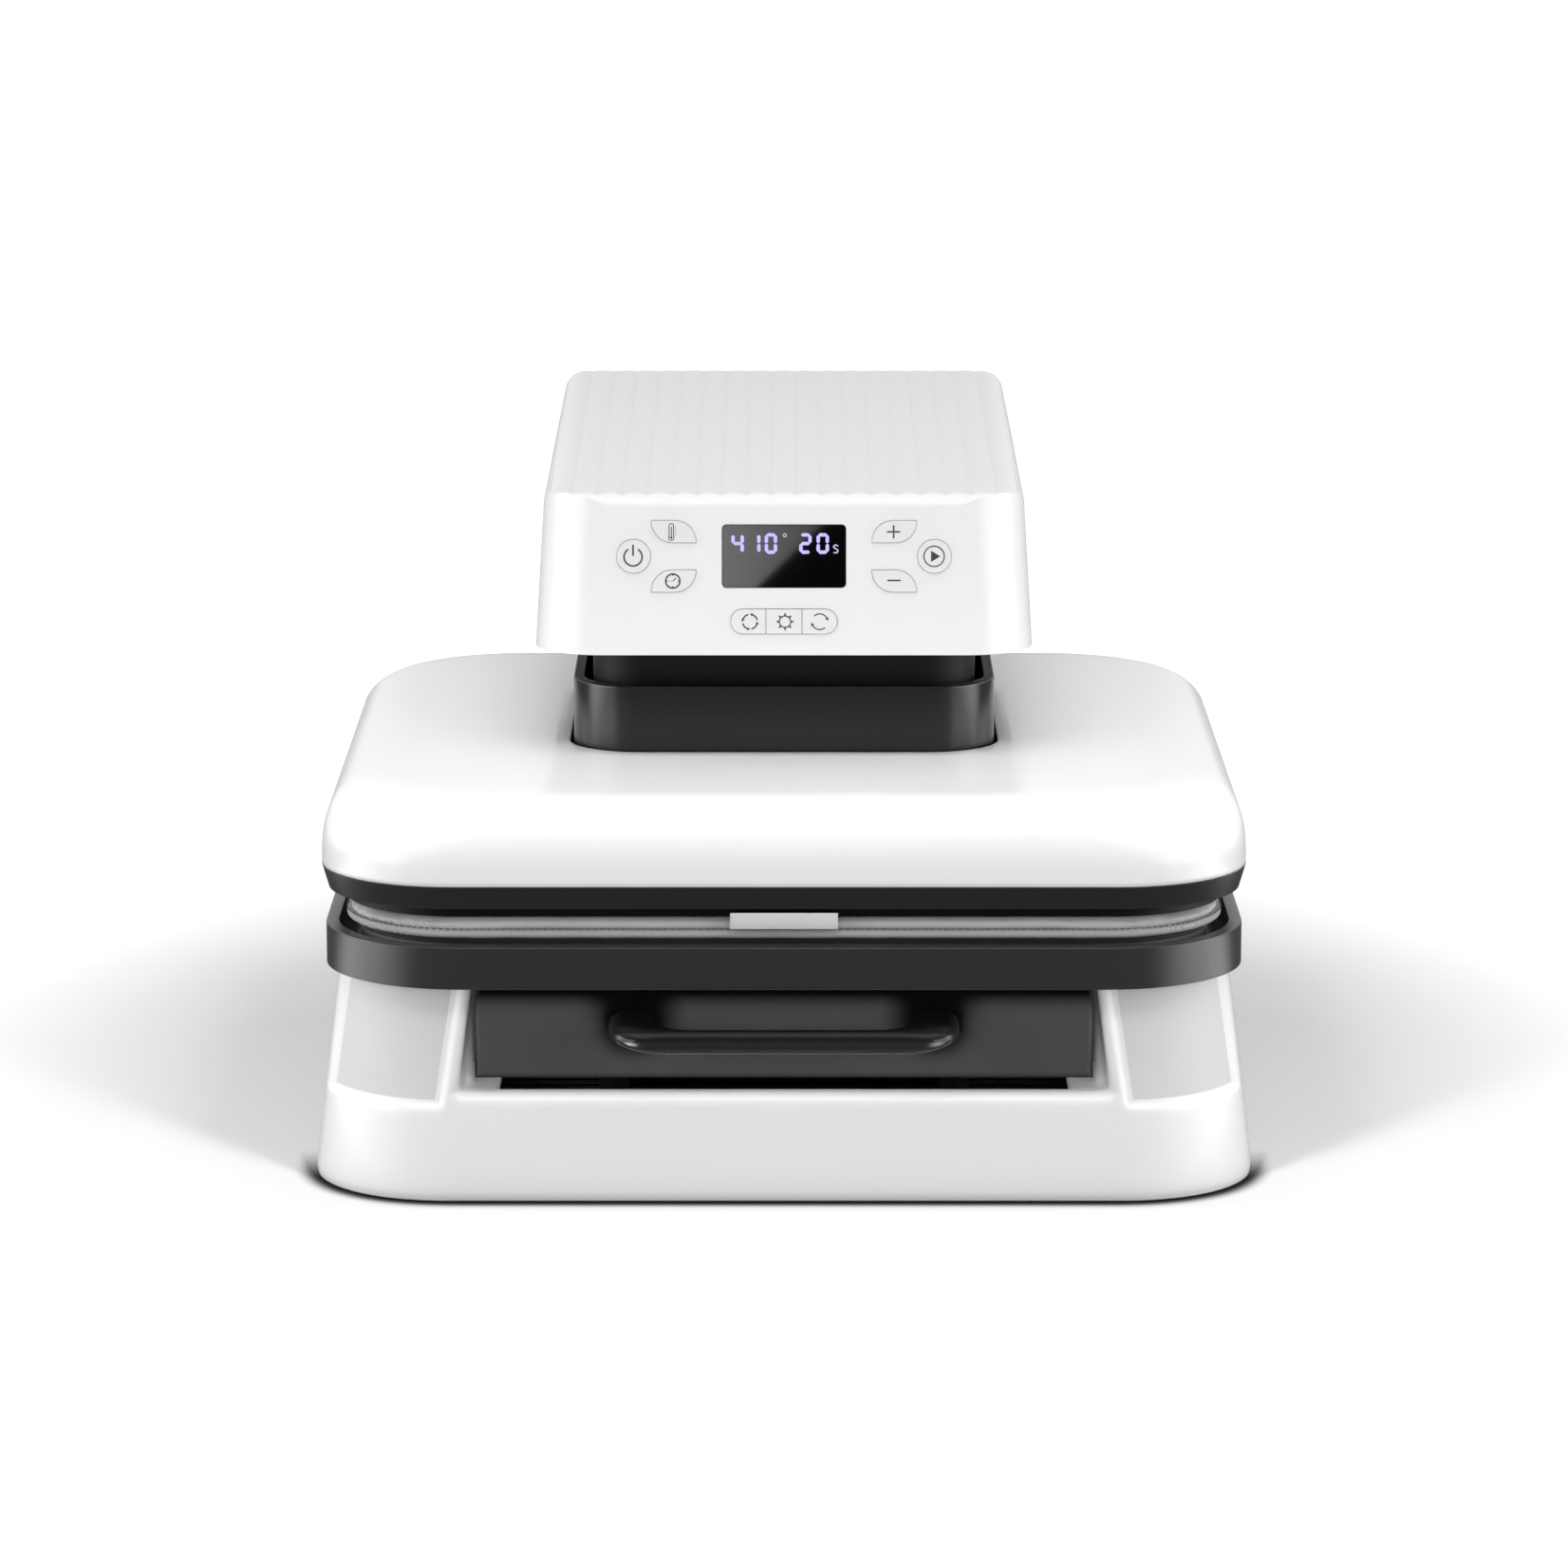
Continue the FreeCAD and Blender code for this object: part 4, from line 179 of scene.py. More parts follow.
camera_data = bpy.data.cameras.new("bench_camera")
camera_data.lens, camera_data.sensor_width = CAMERA_LENS, FILM_WIDTH
camera = bpy.data.objects.new("bench_camera", camera_data)
camera.location = CAMERA_PLACE
camera.rotation_euler = (math.radians(90.0 - CAMERA_DIP), 0.0, 0.0)
bpy.context.scene.collection.objects.link(camera)
bpy.context.scene.camera = camera
bpy.context.scene.view_settings.view_transform = "Standard"
print("camera looks down by", CAMERA_DIP, "degrees")

# %% [markdown]
# ## Node helpers
# Each finish below is a small network of shader nodes, and a few helpers keep that readable. The first two add
# a node with its options and fill its inputs with numbers or with the outputs of other nodes. The others stand
# for what comes up again and again: arithmetic, a change of range, a mix of two colours, noise and a bump.

# %% Helpers for nodes
def add(tree, kind, **options):
    node = tree.nodes.new("ShaderNode" + kind)
    for option, value in options.items():
        setattr(node, option, value)
    return node


def feed(tree, node, inputs):
    for name, value in inputs.items():
        socket = node.inputs[name]
        if isinstance(value, bpy.types.NodeSocket):
            tree.links.new(value, socket)
        else:
            socket.default_value = value
    return node


def math_node(tree, operation, first, second=0.0, third=0.0, clamp=False):
    node = add(tree, "Math", operation=operation, use_clamp=clamp)
    return feed(tree, node, {0: first, 1: second, 2: third}).outputs[0]


def spread(tree, value, start, end, low, high, smooth=True, clamp=True):
    """Changes the range of a value. A smooth change starts and ends softly."""
    node = add(tree, "MapRange", interpolation_type="SMOOTHSTEP" if smooth else "LINEAR", clamp=clamp)
    feed(tree, node, {"Value": value, "From Min": start, "From Max": end, "To Min": low, "To Max": high})
    return node.outputs[0]


def mix(tree, share, first, second):
    return feed(tree, add(tree, "Mix", data_type="RGBA"), {0: share, 6: first, 7: second}).outputs[2]


def scaled(tree, colour, factor):
    node = add(tree, "VectorMath", operation="SCALE")
    return feed(tree, node, {0: colour[:3], "Scale": factor}).outputs[0]


def spot_on(tree):
    return add(tree, "TexCoord").outputs["Object"]


def noise(tree, scale, detail, roughness=0.5):
    node = add(tree, "TexNoise")
    feed(tree, node, {"Vector": spot_on(tree), "Scale": scale, "Detail": detail, "Roughness": roughness})
    return node.outputs["Fac"]


def bump(tree, height, depth):
    return feed(tree, add(tree, "Bump"), {"Height": height, "Distance": depth, "Strength": 1.0}).outputs[0]


def split(tree, vector):
    return feed(tree, add(tree, "SeparateXYZ"), {0: vector}).outputs


def grey(value):
    return (value, value, value, 1.0)


def linear(red, green, blue):
    """A colour picked from a screen, as the shader wants it."""
    def one(level):
        level = level / 255.0
        return level / 12.92 if level <= 0.04045 else ((level + 0.055) / 1.055) ** 2.4
    return (one(red), one(green), one(blue), 1.0)


def start_material(name):
    material = bpy.data.materials.new(name)
    material.use_nodes = True
    return material, material.node_tree, material.node_tree.nodes["Principled BSDF"]


# %% [markdown]
# ## Shared effects
# Moulded plastic is never perfectly smooth: the mould leaves a fine grain, hands leave faint smudges, edges are
# rubbed and a little dust settles on what faces up. One more effect paints shade into the colour where another
# surface stands close. These effects serve many finishes, so each is one node group with its own inputs, built
# once and placed in every material that needs it.

# %% Start a node group
def start_group(name, inputs, outputs):
    tree = bpy.data.node_groups.new(name, "ShaderNodeTree")
    for label, value in inputs.items():
        socket = tree.interface.new_socket(label, in_out="INPUT", socket_type="NodeSocketFloat")
        socket.default_value = value
    for label in outputs:
        tree.interface.new_socket(label, in_out="OUTPUT", socket_type="NodeSocketFloat")
    return tree, tree.nodes.new("NodeGroupInput").outputs, tree.nodes.new("NodeGroupOutput")


def place_group(tree, name, inputs):
    node = add(tree, "Group", node_tree=bpy.data.node_groups[name])
    return feed(tree, node, inputs).outputs


# %% Surface grain
def build_grain():
    tree, given, out = start_group("Surface grain", {"Scale": 900.0, "Smudge scale": 14.0},
                                   ("Height", "Smudge"))
    feed(tree, out, {"Height": noise(tree, given["Scale"], 3.0, 0.6),
                     "Smudge": noise(tree, given["Smudge scale"], 1.5, 0.4)})


build_grain()
print("built group: Surface grain")

# %% Edge wear
def build_wear():
    """Finds an edge where a rounded normal differs from the true one."""
    tree, given, out = start_group("Edge wear", {"Radius": 0.0008, "Amount": 6.0, "Scale": 160.0}, ("Mask",))
    rounded = feed(tree, add(tree, "Bevel", samples=4), {"Radius": given["Radius"]})
    dot = add(tree, "VectorMath", operation="DOT_PRODUCT")
    feed(tree, dot, {0: rounded.outputs["Normal"], 1: add(tree, "NewGeometry").outputs["Normal"]})
    edge = math_node(tree, "SUBTRACT", 1.0, dot.outputs["Value"])
    patchy = math_node(tree, "MULTIPLY", edge, noise(tree, given["Scale"], 4.0))
    feed(tree, out, {"Mask": math_node(tree, "MULTIPLY", patchy, given["Amount"], clamp=True)})


build_wear()
print("built group: Edge wear")

# %% Settled dust
def build_dust():
    tree, given, out = start_group("Settled dust", {"Amount": 0.1, "Scale": 60.0}, ("Mask",))
    normal = split(tree, add(tree, "NewGeometry").outputs["Normal"])
    upward = math_node(tree, "POWER", math_node(tree, "MAXIMUM", normal["Z"], 0.0), 3.0, clamp=True)
    patchy = math_node(tree, "MULTIPLY", upward, noise(tree, given["Scale"], 6.0))
    feed(tree, out, {"Mask": math_node(tree, "MULTIPLY", patchy, given["Amount"])})


build_dust()
print("built group: Settled dust")

# %% Corner shade
def build_corner_shade():
    """Painted shade: a mask that is dark where another surface stands close by, light where the sky is open."""
    tree, given, out = start_group("Corner shade", {"Reach": 0.02, "Dark": 0.7, "Light": 0.97}, ("Mask",))
    sky = feed(tree, add(tree, "AmbientOcclusion", samples=48), {"Distance": given["Reach"]})
    feed(tree, out, {"Mask": spread(tree, sky.outputs["AO"], given["Dark"], given["Light"], 0.0, 1.0)})


build_corner_shade()
print("built group: Corner shade")

# %% Twill weave
WEAVE_WAVES = (((1.0, 1.0, 1.0), 1.0), ((1.0, -1.0, 0.3), 1.6))
RIB_SHARE, FLOAT_SHARE = 0.28, 0.22


def build_weave():
    """Diagonal ribs crossed by the floats of the threads, the same on every side of a piece."""
    tree, given, out = start_group("Twill weave", {"Pitch": 0.0011, "Fuzz": 0.25}, ("Height", "Shade"))
    turns = math_node(tree, "DIVIDE", 2 * math.pi, given["Pitch"])
    waves = []
    for direction, closer in WEAVE_WAVES:
        along = add(tree, "VectorMath", operation="DOT_PRODUCT")
        feed(tree, along, {0: spot_on(tree), 1: direction})
        rate = math_node(tree, "MULTIPLY", turns, closer)
        waves.append(math_node(tree, "SINE", math_node(tree, "MULTIPLY", along.outputs["Value"], rate)))
    crossed = math_node(tree, "MULTIPLY_ADD", waves[1], FLOAT_SHARE, 0.5)
    ribs = math_node(tree, "MULTIPLY_ADD", waves[0], RIB_SHARE, crossed)
    loose = math_node(tree, "SUBTRACT", noise(tree, 2600.0, 3.0, 0.7), 0.5)
    height = math_node(tree, "ADD", ribs, math_node(tree, "MULTIPLY", loose, given["Fuzz"]))
    patches = math_node(tree, "MULTIPLY_ADD", noise(tree, 22.0, 4.0), 0.3, 0.85)
    feed(tree, out, {"Height": height, "Shade": math_node(tree, "MULTIPLY", height, patches)})


build_weave()
print("built group: Twill weave")

# %% [markdown]
# ## Plastic and metal finishes
# One function makes every hard finish, because they differ only in numbers: the colour, how far it varies, how
# rough it is, how coarse the grain is, what shows through where an edge is worn and, where asked, how much shade
# is painted into the corners. The numbers that are the same all over a surface go straight into the shader's own
# sockets. Colours are given as a screen shows them.

# %% Hard finish
# The second colour is the near black of painted shade in corners.
DUST_COLOUR, PAINTED_SHADE_COLOUR = (190, 186, 178), (3, 3, 3)
COAT_ROUGHNESS = 0.08


def hard_finish(name, screen, roughness, grain=900.0, depth=0.00001, metallic=0.0, vary=0.04, worn=None,
                dust=0.03, smudge=0.06, coat=0.0, wear=6.0, specular=0.5, corners=0.0):
    material, tree, shader = start_material(name)
    surface = place_group(tree, "Surface grain", {"Scale": grain, "Smudge scale": 14.0})

    def over_smudges(low, high):
        return spread(tree, surface["Smudge"], 0.3, 0.7, low, high, smooth=False, clamp=False)
    tone = over_smudges(1.0 - vary, 1.0 + vary * 0.5)
    edges = place_group(tree, "Edge wear", {"Radius": 0.0007, "Amount": wear, "Scale": 180.0})
    painted = mix(tree, edges["Mask"], scaled(tree, linear(*screen), tone), linear(*(worn or screen)))
    settled = place_group(tree, "Settled dust", {"Amount": dust, "Scale": 60.0})
    painted = mix(tree, settled["Mask"], painted, linear(*DUST_COLOUR))
    # Painted shade: where corners is given, the colour darkens to near black where another surface stands close.
    if corners:
        shaded = place_group(tree, "Corner shade", {"Reach": corners, "Dark": 0.72, "Light": 0.99})
        painted = mix(tree, shaded["Mask"], linear(*PAINTED_SHADE_COLOUR), painted)
    dull = math_node(tree, "ADD", over_smudges(roughness - smudge / 2, roughness + smudge / 2), settled["Mask"])
    feed(tree, shader, {"Base Color": painted, "Roughness": dull,
                        "Normal": bump(tree, surface["Height"], depth), "Metallic": metallic,
                        "Coat Weight": coat, "Coat Roughness": COAT_ROUGHNESS, "Specular IOR Level": specular})
    return material


# %% Finishes of the hard pieces
HARD = {
    "white_shell": ("glossy_white_shell", (240, 240, 241), 0.32,
                    dict(depth=0.000002, vary=0.004, dust=0.0, smudge=0.03, wear=1.0, coat=0.25)),
    # The sunk panels: matt white, with a darker tone that is painted shade.
    "matte_white": ("matt_panel_painted_shade", (214, 214, 215), 0.6,
                    dict(grain=1500.0, vary=0.004, dust=0.0, smudge=0.01, wear=0.0, specular=0.15)),
    "key_white": ("satin_white_keys", (244, 244, 245), 0.36, dict(depth=0.000004, vary=0.01)),
    "black_plastic": ("satin_black_plastic", (26, 26, 27), 0.22,
                      dict(grain=1400.0, depth=0.00002, smudge=0.04, worn=(62, 62, 63), specular=0.7)),
    "collar_black": ("satin_black_collar", (22, 22, 23), 0.22,
                     dict(grain=1400.0, depth=0.00002, smudge=0.04, worn=(62, 62, 63), specular=0.4)),
    # The neck: a matt black whose darker tone is painted shade for the shade under the head.
    "neck_black": ("matte_black_neck_painted_shade", (22, 22, 23), 0.5, dict(grain=1400.0, depth=0.00002, specular=0.2)),
    # The drawer front: its colour is darkened as painted shade where the tray above and the handle's roots stand
    # close.
    "front_black": ("satin_black_front_painted_shade", (80, 80, 81), 0.5,
                    dict(grain=1600.0, depth=0.00002, specular=0.15, corners=0.018, dust=0.0)),
    "plate_black": ("coated_plate_surround", (6, 6, 7), 0.55, dict(grain=500.0, depth=0.00004, specular=0.25)),
    "tray_black": ("tray_black", (44, 44, 45), 0.22,
                   dict(grain=1600.0, depth=0.00003, smudge=0.04, worn=(80, 80, 81))),
    "handle_black": ("handle_black", (10, 10, 11), 0.19,
                     dict(grain=1400.0, smudge=0.04, worn=(60, 60, 61), specular=0.35)),
    "black_steel": ("black_coated_steel", (40, 40, 42), 0.46,
                    dict(grain=700.0, depth=0.00005, worn=(120, 118, 114))),
    "rubber": ("rubber_foot", (36, 36, 36), 0.74, dict(grain=600.0, depth=0.00005, dust=0.12)),
    "zinc_screw": ("zinc_screw", (186, 186, 190), 0.36, dict(metallic=1.0, vary=0.1)),
    "rail_steel": ("rolled_rail_steel", (176, 178, 182), 0.38,
                   dict(grain=260.0, depth=0.00002, metallic=1.0, vary=0.12)),
    "ground_steel": ("ground_steel", (200, 201, 204), 0.18, dict(metallic=1.0, vary=0.06)),
    "bronze": ("turned_bronze", (170, 128, 74), 0.36, dict(metallic=1.0, vary=0.12)),
    "cast_housing": ("cast_housing", (150, 152, 155), 0.5,
                     dict(grain=350.0, depth=0.00008, metallic=0.7, vary=0.14)),
    "module_black": ("module_black", (28, 28, 29), 0.5, dict(grain=800.0, depth=0.00003)),
    "circuit_board": ("circuit_board", (30, 84, 52), 0.36, dict(grain=300.0, depth=0.00003, vary=0.2)),
    "switch_black": ("switch_black", (34, 34, 35), 0.42, {}),
    "cast_plate": ("coated_hot_plate", (44, 43, 44), 0.38, dict(grain=420.0, depth=0.00005, vary=0.12)),
    "heater_tube": ("heater_tube", (96, 92, 88), 0.44, dict(metallic=0.9, vary=0.2)),
    "fibre_board": ("fibre_board", (206, 200, 186), 0.85, dict(grain=240.0, depth=0.0001, vary=0.1)),
    "silicone": ("silicone_sheet", (52, 50, 50), 0.55, dict(grain=500.0, depth=0.00003)),
    "display_glass": ("display_glass", (4, 4, 5), 0.03,
                      dict(depth=0.0, vary=0.3, dust=0.002, smudge=0.012, wear=0.0)),
}
FINISHES = {slot: hard_finish(name, screen, roughness, **more)
            for slot, (name, screen, roughness, more) in HARD.items()}


def dress(node, finish):
    NODES[node].data.materials.clear()
    NODES[node].data.materials.append(finish)


for entry in frame["record"]["subparts"]:
    if entry["material_slot"] in FINISHES:
        dress(entry["node"], FINISHES[entry["material_slot"]])
for node, slot in (("drawer_front", "front_black"), ("neck", "neck_black"), ("collar", "collar_black")):
    dress(node, FINISHES[slot])
print("finishes:", len(FINISHES))

# %% [markdown]
# ## Cloth finishes
# The mat's cover is a grey heat-proof twill, the thread is darker and the tab is white cotton tape. The hem
# takes a darker copy of the twill, and that darker tone is painted shade for the roll's underside. Cloth is
# never one colour: the ribs catch the light and the gaps between threads stay dark. The weave group gives both
# a painted shade and a height, and a little sheen stands for the loose fibre.

# %% Cloth finish
def cloth_finish(name, screen, pitch=0.0011, depth=0.00012, contrast=0.45, fuzz=0.3, sheen=0.15):
    material, tree, shader = start_material(name)
    weave = place_group(tree, "Twill weave", {"Pitch": pitch, "Fuzz": fuzz})
    tone = spread(tree, weave["Shade"], 0.1, 0.9, 1.0 - contrast, 1.0 + contrast * 0.25, smooth=False)
    feed(tree, shader, {"Base Color": scaled(tree, linear(*screen), tone),
                        "Roughness": spread(tree, weave["Shade"], 0.0, 1.0, 0.95, 0.75, smooth=False),
                        "Normal": bump(tree, weave["Height"], depth), "Sheen Weight": sheen,
                        "Sheen Roughness": 0.5, "Specular IOR Level": 0.25})
    return material


MAT_CLOTH = cloth_finish("mat_twill", (222, 222, 223), contrast=0.4)
# The hem's darker tone is painted shade for the underside of the roll.
HEM_CLOTH_PAINTED_SHADE = cloth_finish("hem_twill_painted_shade", (196, 196, 198), contrast=0.5)
THREAD = cloth_finish("seam_thread", (92, 92, 95), pitch=0.0006, depth=0.00006, contrast=0.35)
TAPE = cloth_finish("cotton_tape", (238, 237, 236), pitch=0.0008, depth=0.00008, contrast=0.25)
dress("heat_mat", MAT_CLOTH)
dress("mat_tab", TAPE)
print("cloth finishes:", [m.name for m in (MAT_CLOTH, HEM_CLOTH_PAINTED_SHADE, THREAD, TAPE)])

# %% [markdown]
# ## From drawing to mesh
# The sizes below are in millimetres, as on the maker's drawing, counted back from the front edge of the base
# and up from the bench. One helper turns such points and faces into an object in metres, gives it its finish
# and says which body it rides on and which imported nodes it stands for. Another lays faces between rings.

# %% Helpers for pieces
MIDDLE = 236.0817613


def row_point(point):
    return Vector((point[0], point[1] - MIDDLE, point[2])) * MM


def make_piece(name, points, faces, finish, slot, body, stands_for=(), smooth=True):
    mesh = bpy.data.meshes.new(name)
    mesh.from_pydata([row_point(point) for point in points], [], faces)
    mesh.materials.append(finish)
    mesh.polygons.foreach_set("use_smooth", [smooth] * len(mesh.polygons))
    mesh.validate()
    mesh.update()
    made = bpy.data.objects.new(name, mesh)
    bpy.context.scene.collection.objects.link(made)
    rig.ride(made, body)
    if stands_for:
        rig.replaces(made, *stands_for)
    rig.slot(made, slot)
    return made


def bridge(first, second, closed=True):
    """Quads between two rows of point numbers of the same length."""
    count = len(first)
    last = count if closed else count - 1
    return [(first[i], first[(i + 1) % count], second[(i + 1) % count], second[i]) for i in range(last)]


def tube(rings, loop=False, caps=False):
    """The points of all rings and the faces between them. It can close on itself or have two flat ends."""
    count = len(rings[0])
    points = [point for ring in rings for point in ring]
    rows = [list(range(start, start + count)) for start in range(0, len(points), count)]
    pairs = list(zip(rows, rows[1:])) + ([(rows[-1], rows[0])] if loop else [])
    faces = [face for low, high in pairs for face in bridge(low, high)]
    return points, faces + ([tuple(reversed(rows[0])), tuple(rows[-1])] if caps else [])


def soften(made, levels=1):
    surface = made.modifiers.new("soften", "SUBSURF")
    surface.levels = surface.render_levels = levels


def rounded_ring(half_x, half_y, radius, z, middle, corner_steps=14, side_steps=10):
    """Points round a rectangle with round corners, the same number for every size."""
    corners = [(half_x - radius, half_y - radius, 0), (radius - half_x, half_y - radius, 90),
               (radius - half_x, radius - half_y, 180), (half_x - radius, radius - half_y, 270)]
    arcs = []
    for cx, cy, start in corners:
        turns = [math.radians(start + 90.0 * step / corner_steps) for step in range(corner_steps + 1)]
        arcs.append([(cx + radius * math.cos(a), cy + radius * math.sin(a)) for a in turns])
    points = []
    for arc, (after, *_) in zip(arcs, arcs[1:] + arcs[:1]):
        points += arc
        for share in (step / side_steps for step in range(1, side_steps)):
            points.append(tuple(a + (b - a) * share for a, b in zip(arc[-1], after)))
    return [(x, y + middle, z) for x, y in points]


# %% [markdown]
# ## Domed cover
# The cover is one glossy moulding like a shallow pillow with a hole for the collar. It could be carved from a
# block, but the eye follows reflections over it, so the slope has to change without any kink. It is drawn as a
# stack of rounded rings: up the wall, over a superellipse shoulder, across a faint crown and back inside.

# %% Cover
COVER_LOW, COVER_HIGH, COVER_HALF, COVER_WALL = 151.0, 191.2, 220.25, 3.0
COVER_ROUND, ROUND_LOSS = 64.0, 0.3
SHOULDER, SHOULDER_STEPS = 36.0, 26
CROWN_FALL, CROWN_HALF, CROWN_STEPS = 1.5, 115.0, 12
HOLE = (104.9, 91.9, 35.9)
COVER_PRESS_Y = 224.0


def cover_ring(half_x, half_y, radius, z):
    return rounded_ring(half_x, half_y, radius, z, COVER_PRESS_Y)


def cover_profile():
    """(inset, height, corner radius) from the bottom edge of the cover to its shoulder."""
    wall_top = COVER_LOW + 5.0
    power = 2.0 / 2.7
    rows = [(0.5, COVER_LOW, COVER_ROUND - 0.4), (0.0, COVER_LOW + 0.5, COVER_ROUND),
            (0.0, COVER_LOW + 2.5, COVER_ROUND)]
    for step in range(SHOULDER_STEPS + 1):
        angle = math.pi / 2 * step / SHOULDER_STEPS
        inset = SHOULDER * (1 - max(math.cos(angle), 0.0) ** power)
        swell = 16.0 * math.sin(angle * 2) ** 2
        rise = (COVER_HIGH - wall_top) * math.sin(angle) ** power
        crown = CROWN_FALL * min(inset / 24.0, 1.0) ** 2 * (1.0 - inset / CROWN_HALF) ** 2
        rows.append((inset, wall_top + rise - crown, COVER_ROUND + swell - ROUND_LOSS * inset))
    return rows


def build_cover():
    rings = [cover_ring(COVER_HALF - inset, COVER_HALF - inset, radius, z)
             for inset, z, radius in cover_profile()]
    top = (COVER_HALF - SHOULDER, COVER_HALF - SHOULDER, COVER_ROUND - ROUND_LOSS * SHOULDER)
    for share in (step / CROWN_STEPS for step in range(1, CROWN_STEPS + 1)):
        inset = SHOULDER + (CROWN_HALF - SHOULDER) * share
        sizes = [outer + (inner + 1.0 - outer) * share for outer, inner in zip(top, HOLE)]
        rings.append(cover_ring(*sizes, COVER_HIGH - CROWN_FALL * (1.0 - inset / CROWN_HALF) ** 2))
    for grow, drop in ((0.4, 0.25), (0.0, 0.9), (0.0, 2.6), (0.6, 3.0)):
        rings.append(cover_ring(*(size + grow for size in HOLE), COVER_HIGH - drop))
    rings.append(cover_ring(*top, COVER_HIGH - 4.0))
    for inset, z, radius in reversed(cover_profile()[2::4]):
        half = COVER_HALF - (COVER_WALL + inset)
        rings.append(cover_ring(half, half, radius - COVER_WALL, max(z - 3.4, COVER_LOW)))
    return make_piece("platen_cover_skin", *tube(rings, loop=True), FINISHES["white_shell"], "white_shell",
                      "upper_platen", ("platen_cover",))


cover = build_cover()
print("cover faces:", len(cover.data.polygons))

# %% [markdown]
# ## Base housing
# The base is one moulding too: leaning walls, a mouth for the drawer with a lip below it, and at each front
# corner a panel sunk by two millimetres. A few hundred control points carry that shape and a subdivision
# surface rounds it, because its rounding follows the spacing of the points: close rows make a crisp edge and
# wide rows a soft one. The shell is glossy and the sunk panels are matt, so their faces take a second finish,
# whose darker tone is painted shade.

# %% Outline of the base at one height
BASE_LOW, BASE_HIGH = 0.7, 102.4
BASE_HALF, BASE_BACK, BASE_ROUND = 224.5, 500.0, 64.0
LEAN, LEAN_FROM, FLARE, FLARE_BELOW = 11.5, 6.0, 0.25, 4.0
LIP, LIP_ROUND = 51.5, 5.5
MOUTH_HALF, MOUTH_LEAN = 153.4, 6.8
PANEL_LOW, SUNK = 45.0, 2.2
RIDGE_X, RIDGE_LEAN = 161.0, 9.0
RUN = 8


def base_outline(z):
    """Half the width, the front, the back and the corner radius."""
    drawn = LEAN * max(z - LEAN_FROM, 0.0) / (BASE_HIGH - LEAN_FROM) + FLARE * max(FLARE_BELOW - z, 0.0)
    return BASE_HALF - drawn, drawn, BASE_BACK - drawn, BASE_ROUND - 0.6 * drawn


def front_y(x, z):
    half, front, _, radius = base_outline(z)
    past = x - (half - radius)
    return front if past <= 0 else front + radius - math.sqrt(max(radius ** 2 - past ** 2, 0.0))


def mouth_x(z):
    return MOUTH_HALF - MOUTH_LEAN * max(z - LIP, 0.0) / (BASE_HIGH - LIP)


def eased_back(z):
    """How far the round edge of the lip, and above it the edge of the mouth, draws back."""
    if z > LIP:
        return 1.4 + 4.1 * max(1.0 - (z - LIP) / 14.0, 0.0) ** 2
    rise = max(z - LIP + LIP_ROUND, 0.0)
    return LIP_ROUND - math.sqrt(max(LIP_ROUND ** 2 - rise ** 2, 0.0))


def ridge_x(z):
    """The upright edge between the front wall and a sunk panel."""
    return RIDGE_X - RIDGE_LEAN * (max(z, PANEL_LOW - 4.0) - PANEL_LOW) / (BASE_HIGH - PANEL_LOW)


def outer_columns(z):
    """(x, y, inward x, inward y, sunk) from the mouth's edge round the corner and the side to the back."""
    half, front, back, radius = base_outline(z)
    cx, cy = half - radius, front + radius
    columns = []

    def along_front(x, sunk, eased=0.0):
        past = max(x - cx, 0.0) / radius
        columns.append((x, front_y(x, z) + eased, -past, math.sqrt(1 - past ** 2), sunk))

    def on_arc(angle, sunk):
        columns.append((cx + radius * math.sin(angle), cy - radius * math.cos(angle), -math.sin(angle),
                        math.cos(angle), sunk))
    along_front(mouth_x(z), 0.0, eased_back(z))
    along_front(mouth_x(z) + 2.4, 0.0)
    for past_ridge, sunk in ((-1.0, 0.0), (1.4, 0.9), (4.0, 1.0)):
        along_front(ridge_x(z) + past_ridge, sunk)
    begin = math.asin(max(ridge_x(z) + 8.0 - cx, 0.0) / radius)
    end = math.acos((cy - 44.0) / radius)
    for step in range(RUN + 1):
        on_arc(begin + (end - begin) * step / RUN, 1.0)
    for y, sunk in ((47.5, 0.8), (52.0, 0.2), (57.0, 0.0)):
        on_arc(math.acos((cy - y) / radius), sunk)
    far = back - radius
    for step in range(RUN + 1):
        columns.append((half, cy + 4.0 + (far - 4.0 - cy) * step / RUN, -1.0, 0.0, 0.0))
    for step in range(RUN + 1):
        angle = math.pi / 2 * step / RUN
        columns.append((cx + radius * math.cos(angle), far + radius * math.sin(angle), -math.cos(angle),
                        -math.sin(angle), 0.0))
    return columns + [(cx * share, back, 0.0, -1.0, 0.0) for share in (0.75, 0.5, 0.25, 0.0)]


# %% Bay walls with as many columns as the outside
BAY_HALF, BAY_BACK = 147.0, 450.5
BAY_FRONT, BAY_FAR = 29.0, 447.0
FRONT_WALL, WALL_DEPTH = 15.0, 7.2


def bay_columns(z):
    """Points from the mouth's edge back along the bay's wall to the middle of its back wall."""
    edge = mouth_x(z)
    front = front_y(edge, z)
    points = [(edge, front + WALL_DEPTH), (edge, max(FRONT_WALL, front + 8.6)), (edge, 22.0), (BAY_HALF, 24.5),
              (BAY_HALF, BAY_FRONT)]
    runs = len(outer_columns(z)) - len(points) - 6
    points += [(BAY_HALF, BAY_FRONT + (BAY_FAR - BAY_FRONT) * (step + 1) / runs) for step in range(runs)]
    return points + [(x, BAY_BACK) for x in (143.5, 134.5, 90.0, 45.0, 0.0)]


